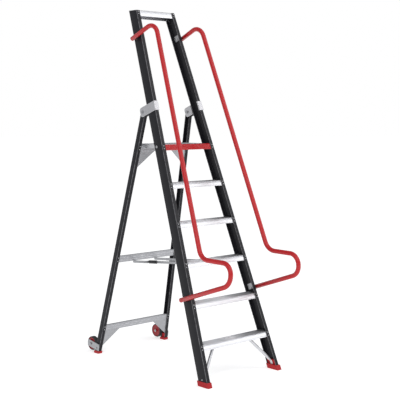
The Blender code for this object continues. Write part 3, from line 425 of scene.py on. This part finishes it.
def set_parts(name, template, places, look, body, loose_turn=0.0):
    """Sets copies of a template on (place, facing, stretch) places and keeps them as one plain mesh."""
    cloud = bpy.data.meshes.new(name)
    cloud.from_pydata([place for place, facing, stretch in places], [], [])
    for label, index in (("facing", 1), ("stretch", 2)):
        values = [number for item in places for number in item[index]]
        cloud.attributes.new(label, "FLOAT_VECTOR", "POINT").data.foreach_set("vector", values)
    for edge in template.edges:
        edge.smooth = len(edge.link_faces) != 2 or edge.calc_face_angle() < radians(SMOOTH_UNDER)
    pattern_mesh = bpy.data.meshes.new(f"{name}_pattern")
    bmesh.ops.recalc_face_normals(template, faces=template.faces)
    template.to_mesh(pattern_mesh)
    template.free()
    pattern = bpy.data.objects.new(f"{name}_pattern", pattern_mesh)
    made = bpy.data.objects.new(name, cloud)
    grown = made.modifiers.new("placing", "NODES")
    grown.node_group = PLACING
    items = PLACING.interface.items_tree
    sockets = {item.name: item.identifier for item in items if item.in_out == "INPUT"}
    grown[sockets["Part"]] = pattern
    grown[sockets["Finish"]] = look
    grown[sockets["Loose Turn"]] = loose_turn
    bpy.context.collection.objects.link(pattern)
    bpy.context.collection.objects.link(made)
    graph = bpy.context.evaluated_depsgraph_get()
    plain = bpy.data.meshes.new_from_object(made.evaluated_get(graph))
    made.modifiers.clear()
    made.data = plain
    bpy.data.objects.remove(pattern)
    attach(made, body)
    return made


def half_round_bar():
    """A bar one metre long with a half-round top, for the ribs."""
    angles = [pi * i / RIB_SIDES for i in range(RIB_SIDES + 1)]
    ring = [(RIB_RADIUS * cos(a), RIB_RADIUS * sin(a) - RIB_RADIUS + RIB_RISE) for a in angles]
    return loft([[Vector((x, y, z)) for y, z in ring] for x in (-0.5, 0.5)])


aluminium = finish("drawn_aluminium", ALLOY, ALLOY_PALE, ALLOY_GRAIN, (0.30, 0.46), metallic=0.85,
                   edge_wear_and_highlight=ALLOY_EDGE, relief=0.06)
step_ribs = []
for number in range(1, STEP_COUNT + 1):
    low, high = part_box(f"step_{number}")
    rise = high.z
    front = STILE_WALL + FIT
    heel = STILE_DEPTH - front
    outline = tread_section(front, heel, rise - RIB_RISE, NOSE_DROP - RIB_RISE, HEEL_DROP - RIB_RISE,
                            NOSE_GROOVES)
    piece(f"tread_{number}", across_stiles(outline, high.x), aluminium, "front_frame", "aluminium",
          f"step_{number}")
    rib_y = low.y + SHEET + RIB_PITCH / 2
    while rib_y < high.y - SHEET:
        step_ribs.append((Vector((0.0, rib_y, rise - RIB_RISE)), (0.0, 0.0, 1.0), (2 * high.x, 1.0, 1.0)))
        rib_y += RIB_PITCH
set_parts("step_ribs", half_round_bar(), step_ribs, aluminium, "front_frame")


# Top bar: a wider length of extrusion that ties the stile heads together and holds small tools.
# Its front wall stands tall and plain, and its rear wall hangs lower.

BAR_NOSE = 0.038
BAR_HEEL = 0.052

low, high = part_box("top_bar")
outline = tread_section(STILE_WALL + FIT, STILE_DEPTH - STILE_WALL - FIT, high.z, BAR_NOSE, BAR_HEEL)
piece("head_bar", across_stiles(outline, high.x), aluminium, "front_frame", "aluminium", "top_bar")


# Platform front: a red powder-coated nosing riveted between the stiles ahead of the deck. Fine
# lines run along its face from the die, and its corners are rounded over.

RED = (0.42, 0.007, 0.011)
RED_LIGHT = (0.50, 0.011, 0.015)
RED_CHIP = (0.58, 0.07, 0.07)
NOSING_DROP = 0.037
NOSING_DEPTH = 0.022
NOSING_LINES = 5

red_coat = finish("red_powder_coat", RED, RED_LIGHT, (0.0011, 0.0011, 0.0011), (0.20, 0.30), mottle=0.3,
                  relief=0.10, edge_wear_and_highlight=RED_CHIP, edge_wear_and_highlight_share=0.3, coat=0.12, shine=0.35)
low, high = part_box("platform_front")
front = STILE_WALL + FIT
top = high.z
flute = NOSE_LINE
face = []
for i in range(NOSING_LINES):
    z = top - NOSING_DROP * (i + 1) / (NOSING_LINES + 1)
    face += [(front, z + 2 * flute), (front + 2 * flute, z), (front, z - 2 * flute)]
rear = front + NOSING_DEPTH
outline = [
    *arc((rear - SHEET, top - SHEET), SHEET, 90, 0, CORNER_STEPS),
    (rear, top - NOSING_DROP),
    (rear - SHEET, top - NOSING_DROP),
    (rear - SHEET, top - SHEET),
    (front + 2 * SHEET, top - 2 * SHEET),
    (front + 2 * SHEET, top - NOSING_DROP + SHEET),
    (front + STEP_LIP, top - NOSING_DROP + SHEET),
    (front + STEP_LIP, top - NOSING_DROP),
    *arc((front + SHEET, top - NOSING_DROP + SHEET), SHEET, 270, 180, CORNER_STEPS),
    *sorted(face, key=lambda point: point[1]),
    *arc((front + 2 * SHEET, top - 2 * SHEET), 2 * SHEET, 180, 90, 4),
]
piece("platform_nosing", across_stiles(outline, high.x), red_coat, "front_frame", "red_coat",
      "platform_front")


# Handrails: red powder-coated steel tube, 30 mm across, bent cold to a long grip on each side. Black
# collars hold each rail off its stile, and a plate inside the channel takes the stud that grips it.

RAIL_RADIUS = 0.0148
RAIL_GAP = 0.009
RAIL_STANDOFF = 0.180
RAIL_TOP = 2.28718
RAIL_FOOT = 0.55419
RAIL_END = 0.074
RAIL_TILTS = (radians(3.1), radians(-1.2))
RAIL_BENDS = (0.075, 0.080, 0.066, 0.076)
RAIL_GRIP_Z = 0.767
RAIL_REACH = 0.166
RAIL_SIDES = 28
BEND_STEPS = 12
PLUG_DOME = 0.45
PLUG_RINGS = (82, 60, 35, 12)
SHARP_OVER = 32
CURVED_OVER = 4
FLAT_WITHIN = 0.5
WELD_WITHIN = 1e-5
MOULDED_EDGE = 0.0008
PLATE_EDGE = 0.0006
BLACK = (0.010, 0.010, 0.011)
BLACK_GREY = (0.022, 0.022, 0.024)
BLACK_RUB = (0.05, 0.05, 0.055)
ZINC = (0.33, 0.335, 0.35)
ZINC_PALE = (0.43, 0.435, 0.45)
ZINC_EDGE = (0.66, 0.66, 0.68)


def in_profile(back, along):
    """Y and Z of a point given along and behind the stile's front face."""
    z = along * cos(STILE_LEAN) - back * sin(STILE_LEAN)
    return on_stile(0, 0.0, back, z)


def along_at(back, z):
    return (z + back * sin(STILE_LEAN)) / cos(STILE_LEAN)


def rail_run(back, along, tilt):
    """A point of a rail's end run, which crosses the middle of the web where its stud is."""
    return in_profile(back, along + tan(tilt) * (STILE_DEPTH / 2 - back))


def in_rail_plane(side, point):
    return Vector((side * (front_half(point.z) + RAIL_GAP + RAIL_RADIUS), point.y, point.z))


def web_out(side):
    """Square to a stile's outer face."""
    return Vector((side, 0.0, tan(STILE_SPLAY))).normalized()


def rounded_path(corners, bends):
    """Straight runs joined by arcs of the bends' radii."""
    path = [corners[0]]
    for before, corner, after, radius in zip(corners, corners[1:], corners[2:], bends):
        back = (before - corner).normalized()
        ahead = (after - corner).normalized()
        half = back.angle(ahead) / 2
        centre = corner + (back + ahead).normalized() * (radius / sin(half))
        start = corner + back * (radius / tan(half)) - centre
        end = corner + ahead * (radius / tan(half)) - centre
        sweep = start.angle(end)
        for step in range(BEND_STEPS + 1):
            share = step / BEND_STEPS
            path.append(centre + (start * sin((1 - share) * sweep) + end * sin(share * sweep)) / sin(sweep))
    path.append(corners[-1])
    return path


def swept_tube(path, normal, radius, sides):
    """A solid rod along a path in one plane, with a low domed plug on each end."""
    dome = [(PLUG_DOME * sin(radians(a)), cos(radians(a))) for a in PLUG_RINGS]
    stations = []
    for i, point in enumerate(path):
        tangent = (path[min(i + 1, len(path) - 1)] - path[max(i - 1, 0)]).normalized()
        stations.append((point, tangent, radius))
    first = stations[0]
    last = stations[-1]
    full = PLUG_DOME * radius
    head = [(first[0] + first[1] * (full - radius * rise), first[1], radius * wide)
            for rise, wide in dome]
    tail = [(last[0] - last[1] * (full - radius * rise), last[1], radius * wide)
            for rise, wide in reversed(dome)]
    stations = head + stations[1:-1] + tail
    loops = []
    for point, tangent, wide in stations:
        out = tangent.cross(normal).normalized()
        angles = [2 * pi * i / sides for i in range(sides)]
        loops.append([point + out * (wide * cos(a)) + normal * (wide * sin(a)) for a in angles])
    return loft(loops)


def rounded(shape, width, segments=2):
    """Breaks every sharp edge by this width, and marks the new strips for the finish to wear."""
    edge_wear_and_highlight = shape.loops.layers.float.new("edge")
    sharp = [edge for edge in shape.edges
             if len(edge.link_faces) == 2 and edge.calc_face_angle() > radians(SHARP_OVER)]
    made = bmesh.ops.bevel(shape, geom=sharp, offset=width, segments=segments, profile=0.5,
                           affect="EDGES", clamp_overlap=True)
    for face in made["faces"]:
        face.smooth = True
        for loop in face.loops:
            loop[edge_wear_and_highlight] = 1.0
    return shape


def softened(node, width, segments=2):
    """A copy of a solid of the frame, joined up, with its edges broken."""
    shape = bmesh.new()
    shape.from_mesh(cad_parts[node].data)
    bmesh.ops.remove_doubles(shape, verts=shape.verts, dist=WELD_WITHIN)
    bmesh.ops.dissolve_limit(shape, angle_limit=radians(FLAT_WITHIN), verts=shape.verts,
                             edges=shape.edges)
    for face in shape.faces:
        folds = [edge.calc_face_angle(0.0) for edge in face.edges]
        face.smooth = any(radians(CURVED_OVER) < fold < radians(SHARP_OVER) for fold in folds)
    return rounded(shape, width, segments)


black = finish("black_moulding", BLACK, BLACK_GREY, (0.0009, 0.0009, 0.0009), (0.42, 0.58), relief=0.12,
               edge_wear_and_highlight=BLACK_RUB)
zinc = finish("zinc_plate", ZINC, ZINC_PALE, (0.010, 0.004, 0.006), (0.28, 0.46), metallic=0.85,
              mottle=0.03, relief=0.04, edge_wear_and_highlight=ZINC_EDGE)
nose_y = STILE_FRONT_Y - RAIL_REACH
upper_tilt, lower_tilt = RAIL_TILTS
rail_end = rail_run(RAIL_END, RAIL_FOOT, lower_tilt)
corners = [
    rail_run(RAIL_END, RAIL_TOP, upper_tilt),
    rail_run(-RAIL_STANDOFF, RAIL_TOP, upper_tilt),
    in_profile(-RAIL_STANDOFF, along_at(-RAIL_STANDOFF, RAIL_GRIP_Z)),
    Vector((0.0, nose_y, RAIL_GRIP_Z)),
    Vector((0.0, nose_y, rail_end.z + tan(STILE_LEAN + lower_tilt) * (rail_end.y - nose_y))),
    rail_end,
]
for word, side in SIDES.items():
    path = rounded_path([in_rail_plane(side, corner) for corner in corners], RAIL_BENDS)
    piece(f"rail_{word}", swept_tube(path, web_out(side), RAIL_RADIUS, RAIL_SIDES), red_coat,
          "front_frame", "red_coat", f"handrail_{word}", sharp=60)
    for level in ("upper", "lower"):
        spacer = f"rail_spacer_{level}_{word}"
        clamp = f"rail_clamp_{level}_{word}"
        piece(f"collar_{level}_{word}", softened(spacer, MOULDED_EDGE), black, "front_frame",
              "black_plastic", spacer)
        piece(f"clamp_{level}_{word}", softened(clamp, PLATE_EDGE), zinc, "front_frame", "zinc_steel",
              clamp)


# Rivets: domed aluminium heads, two through each flange at every step, at the platform front and at
# the top bar, front and rear alike.

RIVET_RADIUS = 0.0032
RIVET_RISE = 0.0016
RIVET_IN = 0.0125
RIVET_DROPS = (0.008, 0.024)
RIVET_DOME = [(-0.0004, 1.0), (0.0, 1.0), (0.35, 0.96), (0.7, 0.74), (0.93, 0.42), (1.0, 0.12)]
RIVET_SIDES = 16


def turned(profile, sides):
    """A closed solid turned about Z from (height, radius) pairs, for a part that is set on places."""
    loops = []
    for height, radius in profile:
        angles = [2 * pi * i / sides for i in range(sides)]
        loops.append([Vector((radius * cos(a), radius * sin(a), height)) for a in angles])
    return loft(loops)


def rivet_head():
    return turned([(rise * RIVET_RISE, wide * RIVET_RADIUS) for rise, wide in RIVET_DOME], RIVET_SIDES)


front_out = (0.0, -cos(STILE_LEAN), sin(STILE_LEAN))
rear_out = (0.0, cos(STILE_LEAN), -sin(STILE_LEAN))
whole = (1.0, 1.0, 1.0)
rivets = []
heights = [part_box(f"step_{number}")[1].z for number in range(1, STEP_COUNT + 1)]
heights += [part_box("platform_front")[1].z, STILE_TOP]
for side in SIDES.values():
    for z in heights:
        for drop in RIVET_DROPS:
            rivets.append((on_stile(side, RIVET_IN, 0.0, z - drop), front_out, whole))
            rivets.append((on_stile(side, RIVET_IN, STILE_DEPTH, z - drop), rear_out, whole))
set_parts("stile_rivets", rivet_head(), rivets, aluminium, "front_frame")


# Hinge brackets: pressed aluminium saddles round the front of each stile. The outer cheek and a
# separate inner angle run back to the bolt that the rear leg turns on.

PRESSED = (0.47, 0.47, 0.49)
PRESSED_PALE = (0.56, 0.56, 0.58)
PRESSED_EDGE = 0.0008
PIN_EDGE = 0.0007

bright = finish("pressed_aluminium", PRESSED, PRESSED_PALE, (0.02, 0.004, 0.004), (0.36, 0.52),
                metallic=0.75, mottle=0.05, relief=0.05, edge_wear_and_highlight=ALLOY_EDGE)
for word, side in SIDES.items():
    piece(f"saddle_{word}", softened(f"hinge_bracket_{word}", PRESSED_EDGE), bright, "front_frame",
          "aluminium", f"hinge_bracket_{word}")
    piece(f"cheek_{word}", softened(f"hinge_plate_{word}", PRESSED_EDGE), bright, "front_frame",
          "aluminium", f"hinge_plate_{word}")
    piece(f"hinge_pin_{word}", softened(f"hinge_bolt_{word}", PIN_EDGE), zinc, "front_frame", "zinc_steel",
          f"hinge_bolt_{word}")


# Braces: round aluminium tubes pressed flat at both ends, from under the lowest step out to the foot
# of each stile, with a bolt through each flat.

for word, side in SIDES.items():
    piece(f"brace_{word}", softened(f"brace_strut_{word}", PLATE_EDGE), aluminium, "front_frame",
          "aluminium", f"brace_strut_{word}")


# Front feet: red moulded rubber boots pushed over the stile ends, each with a plug up the inside
# of the web. The zinc-plated pins of the deck and the lugs of the stay, turned and pressed from
# steel, are fixed to the same stiles higher up and so are set here too.

RUBBER = (0.34, 0.008, 0.013)
RUBBER_PALE = (0.44, 0.014, 0.019)
RUBBER_RUB = (0.50, 0.05, 0.055)
BOOT_EDGE = 0.0022
BOOT_EDGE_STEPS = 3
LUG_EDGE = 0.0005

red_rubber = finish("red_rubber", RUBBER, RUBBER_PALE, (0.0016, 0.0016, 0.0016), (0.48, 0.66),
                    mottle=0.04, relief=0.2, edge_wear_and_highlight=RUBBER_RUB, shine=0.3)
for word, side in SIDES.items():
    piece(f"front_boot_{word}", softened(f"front_foot_{word}", BOOT_EDGE, BOOT_EDGE_STEPS), red_rubber,
          "front_frame", "red_rubber", f"front_foot_{word}")
    piece(f"deck_pin_{word}", softened(f"platform_pivot_{word}", PLATE_EDGE), zinc, "front_frame",
          "zinc_steel", f"platform_pivot_{word}")
    piece(f"lug_{word}", softened(f"stay_lug_{word}", LUG_EDGE), zinc, "front_frame", "zinc_steel",
          f"stay_lug_{word}")


# Foot bolts: zinc-plated hexagon heads with washers, one through each stile just above its
# boot, into the flattened end of the brace.

FOOT_BOLT_HEIGHT = 0.041
FOOT_BOLT_ACROSS = 0.0046
FOOT_BOLT_RISE = 0.004
WASHER_SHAPE = [(0.0, 1.25), (0.22, 1.25), (0.30, 1.18)]
WASHER_SIDES = 24
CROWN_SHAPE = [(0.2, 1.0), (0.85, 1.0), (1.0, 0.86)]
CROWN_SIDES = 6


def hex_bolt(across, height):
    """A hexagon head with a chamfered crown on a washer."""
    washer = turned([(height * up, across * wide) for up, wide in WASHER_SHAPE], WASHER_SIDES)
    crown = turned([(height * up, across * wide) for up, wide in CROWN_SHAPE], CROWN_SIDES)
    spare = bpy.data.meshes.new("bolt_crown")
    crown.to_mesh(spare)
    crown.free()
    washer.from_mesh(spare)
    for face in washer.faces:
        face.smooth = len(face.verts) == 4 and abs(face.normal.z) < 0.9
    return washer


places = [(on_stile(side, 0.0, STILE_DEPTH / 2, FOOT_BOLT_HEIGHT), tuple(web_out(side)), whole)
          for side in SIDES.values()]
set_parts("foot_bolts", hex_bolt(FOOT_BOLT_ACROSS, FOOT_BOLT_RISE), places, zinc, "front_frame",
          loose_turn=pi)


# Rear legs: narrower channels of the same fibreglass, webs outwards, hung between the cheeks of the
# hinge brackets on a steel bush.

LEG_LEAN = radians(13.52)
LEG_SPLAY = radians(3.58)
LEG_DEPTH = 0.043
LEG_FLANGE = 0.0255
LEG_WALL = 0.0035
LEG_ROUND = 0.004

low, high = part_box("rear_leg_left")
LEG_SOLE = low.z
LEG_TOP = high.z
LEG_REAR_Y = high.y + tan(LEG_LEAN) * low.z
LEG_FLOOR_HALF = tan(LEG_SPLAY) * low.z - low.x


def leg_half(z):
    return LEG_FLOOR_HALF - tan(LEG_SPLAY) * z


def on_leg(side, across, back, z):
    """A point of a rear leg: across inwards from its web, back from its front face, at height z."""
    y = LEG_REAR_Y - tan(LEG_LEAN) * z + (back - LEG_DEPTH) / cos(LEG_LEAN)
    return Vector((side * (leg_half(z) - across), y, z))


def at_leg_lip(point):
    return on_lip(leg_half(point.z) - abs(point.x), LEG_FLANGE, LEG_WALL, LEG_ROUND)


# The legs' paler edge colour is a painted highlight along the flange edges and round corners.
leg_fibreglass = finish("charcoal_leg", CHARCOAL, CHARCOAL_STREAK, RESIN_GRAIN, RESIN_ROUGH,
                        turn=(LEG_LEAN, 0.0, 0.0), edge_wear_and_highlight=RESIN_PAINTED_HIGHLIGHT, edge_wear_and_highlight_share=0.8, relief=0.05, shine=0.22)
section = channel_section(LEG_FLANGE, LEG_DEPTH, LEG_WALL, LEG_ROUND)
for word, side in SIDES.items():
    ends = (LEG_SOLE, LEG_TOP)
    shape = loft([[on_leg(side, across, back, z) for across, back in section] for z in ends])
    mark_highlit_lips(shape, at_leg_lip)
    piece(f"leg_{word}", shape, leg_fibreglass, "rear_frame", "fibreglass", f"rear_leg_{word}")
    piece(f"bush_{word}", softened(f"leg_bush_{word}", LUG_EDGE), zinc, "rear_frame", "zinc_steel",
          f"leg_bush_{word}")


# Crossbars: three fluted aluminium box profiles let in behind the front flanges of the legs. The top
# one carries the deck's back edge, and the stay hooks over the middle one.

BAR_DROPS = {"upper": (0.012, 0.034), "mid": (0.011, 0.033), "lower": (0.010, 0.030)}
BAR_RIVET_IN = 0.0145
BAR_EDGE = 0.0010
MILL = (0.36, 0.365, 0.385)
MILL_PALE = (0.46, 0.465, 0.485)
MILL_EDGE = (0.62, 0.62, 0.64)

mill = finish("mill_aluminium", MILL, MILL_PALE, ALLOY_GRAIN, (0.34, 0.50), metallic=0.8,
              edge_wear_and_highlight=MILL_EDGE, relief=0.06)
leg_front = (0.0, -cos(LEG_LEAN), -sin(LEG_LEAN))
leg_rivets = []
for level, drops in BAR_DROPS.items():
    piece(f"{level}_bar", softened(f"{level}_crossbar", BAR_EDGE), mill, "rear_frame", "aluminium",
          f"{level}_crossbar")
    for side in SIDES.values():
        for drop in drops:
            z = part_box(f"{level}_crossbar")[1].z - drop
            leg_rivets.append((on_leg(side, BAR_RIVET_IN, 0.0, z), leg_front, whole))
set_parts("leg_rivets", rivet_head(), leg_rivets, aluminium, "rear_frame")


# Gussets: triangles cut from zinc-plated steel sheet, below the upper and lower crossbars. Each is
# bolted to a leg and to the bar, and keeps the rear frame square.

for level in ("upper", "lower"):
    for word in SIDES:
        piece(f"{level}_web_{word}", softened(f"{level}_gusset_{word}", PLATE_EDGE), zinc, "rear_frame",
              "zinc_steel", f"{level}_gusset_{word}")


# Wheels: red moulded hubs in solid rubber tyres, on axle bolts through plates that stand behind the
# legs, clear of the ground until the folded ladder is tipped back. The legs stand on rubber boots.

RED_HUB = (0.26, 0.006, 0.012)
RED_HUB_PALE = (0.34, 0.010, 0.016)
RED_HUB_RUB = (0.42, 0.06, 0.07)
TYRE = (0.018, 0.018, 0.020)
TYRE_DUST = (0.050, 0.048, 0.048)
WHEEL_RADIUS = 0.0475
WHEEL_HALF = 0.017
TYRE_THICKNESS = 0.0065
TYRE_CROWN = 0.003
HUB_BORE = 0.0053
BOSS_RADIUS = 0.013
RIM_DISH = 0.005
HUB_SOFT = 0.001
BEAD_RISE = 0.0012
BEAD_RINGS = (0.023, 0.0238, 0.0252, 0.026)
GROOVE_DEPTH = 0.0011
REAR_BOOT_EDGE = 0.0018
WHEEL_SIDES = 72


def turned_ring(section, middle):
    """A ring turned about X from (distance, radius) pairs."""
    loops = []
    for along, radius in section:
        angles = [2 * pi * i / WHEEL_SIDES for i in range(WHEEL_SIDES)]
        loops.append([middle + Vector((along, radius * cos(a), radius * sin(a))) for a in angles])
    return loft(loops, closed=True)


def hub_section():
    """A boss, a dished web with a bead half way out and a rim, the same on both sides."""
    rim = WHEEL_RADIUS - TYRE_THICKNESS
    face = WHEEL_HALF
    web = face - RIM_DISH
    half = [
        (face, HUB_BORE),
        (face, BOSS_RADIUS - HUB_SOFT),
        (face - HUB_SOFT, BOSS_RADIUS),
        (web + HUB_SOFT, BOSS_RADIUS + RIM_DISH / 4),
        (web, BOSS_RADIUS + RIM_DISH / 3),
        (web, BEAD_RINGS[0]),
        (web + BEAD_RISE, BEAD_RINGS[1]),
        (web + BEAD_RISE, BEAD_RINGS[2]),
        (web, BEAD_RINGS[3]),
        (web, rim - RIM_DISH),
        (face - 0.0015, rim - RIM_DISH / 3),
        (face - HUB_SOFT, rim - 0.0006),
        (face - 0.0015, rim),
    ]
    return half + [(-along, radius) for along, radius in reversed(half)]


def tyre_section():
    """A solid tyre with rounded shoulders and three shallow grooves round its tread."""
    seat = WHEEL_RADIUS - TYRE_THICKNESS + FIT
    side = [
        (WHEEL_HALF - 0.001, seat),
        (WHEEL_HALF, seat + 0.0015),
        (WHEEL_HALF - 0.0004, seat + TYRE_CROWN),
        (WHEEL_HALF - 0.0012, WHEEL_RADIUS - 0.0026),
        (WHEEL_HALF - TYRE_CROWN, WHEEL_RADIUS - 0.0012),
        (WHEEL_HALF - 2 * TYRE_CROWN, WHEEL_RADIUS - 0.0002),
        (0.0078, WHEEL_RADIUS),
        (0.0072, WHEEL_RADIUS - GROOVE_DEPTH),
        (0.0062, WHEEL_RADIUS - GROOVE_DEPTH),
        (0.0056, WHEEL_RADIUS),
        (0.0010, WHEEL_RADIUS),
        (0.0005, WHEEL_RADIUS - GROOVE_DEPTH),
    ]
    return side + [(-along, radius) for along, radius in reversed(side)]


hub_red = finish("red_hub", RED_HUB, RED_HUB_PALE, (0.0012, 0.0012, 0.0012), (0.30, 0.42), mottle=0.05,
                 relief=0.08, edge_wear_and_highlight=RED_HUB_RUB)
tyre_rubber = finish("tyre_rubber", TYRE, TYRE_DUST, (0.0014, 0.0014, 0.0014), (0.62, 0.82), mottle=0.02,
                     relief=0.25, edge_wear_and_highlight=TYRE_DUST)
for word in SIDES:
    piece(f"plate_{word}", softened(f"wheel_plate_{word}", PLATE_EDGE), zinc, "rear_frame", "aluminium",
          f"wheel_plate_{word}")
    piece(f"axle_{word}", softened(f"wheel_axle_{word}", PLATE_EDGE), zinc, "rear_frame", "zinc_steel",
          f"wheel_axle_{word}")
    piece(f"rear_boot_{word}", softened(f"rear_foot_{word}", REAR_BOOT_EDGE, BOOT_EDGE_STEPS), red_rubber,
          "rear_frame", "red_rubber", f"rear_foot_{word}")
    low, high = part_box(f"wheel_tyre_{word}")
    middle = (low + high) / 2
    piece(f"hub_{word}", turned_ring(hub_section(), middle), hub_red, f"wheel_{word}", "red_hub",
          f"wheel_hub_{word}")
    piece(f"tyre_{word}", turned_ring(tyre_section(), middle), tyre_rubber, f"wheel_{word}", "tyre",
          f"wheel_tyre_{word}")


# Platform deck: an aluminium tray with turned-down walls, hinged on pins between the stiles, with
# grip ribs along its top. Its lip rests on the upper crossbar.

DECK_RIB_PITCH = 0.0080
DECK_RIB_MARGIN = 0.008

piece("deck", softened("platform_deck", PRESSED_EDGE), aluminium, "platform", "aluminium", "platform_deck")
low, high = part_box("platform_deck")
deck_ribs = []
rib_y = low.y + DECK_RIB_MARGIN
while rib_y < high.y - DECK_RIB_MARGIN:
    stretch = (2 * (high.x - DECK_RIB_MARGIN), 1.0, 1.0)
    deck_ribs.append((Vector((0.0, rib_y, high.z)), (0.0, 0.0, 1.0), stretch))
    rib_y += DECK_RIB_PITCH
set_parts("deck_ribs", half_round_bar(), deck_ribs, aluminium, "platform")


# Folding stay: two flat zinc-plated arms on lugs under the third step, each with a short link that
# hooks up behind the middle crossbar. A black sleeve on the left arm is pulled up to unhook them.

for word in SIDES:
    piece(f"arm_{word}", softened(f"stay_arm_{word}", PLATE_EDGE), zinc, "stay_front", "zinc_steel",
          f"stay_arm_{word}")
    piece(f"hook_{word}", softened(f"stay_hook_{word}", PLATE_EDGE), zinc, "stay_rear", "zinc_steel",
          f"stay_hook_{word}")
piece("sleeve", softened("stay_grip", MOULDED_EDGE), black, "stay_front", "black_plastic", "stay_grip")
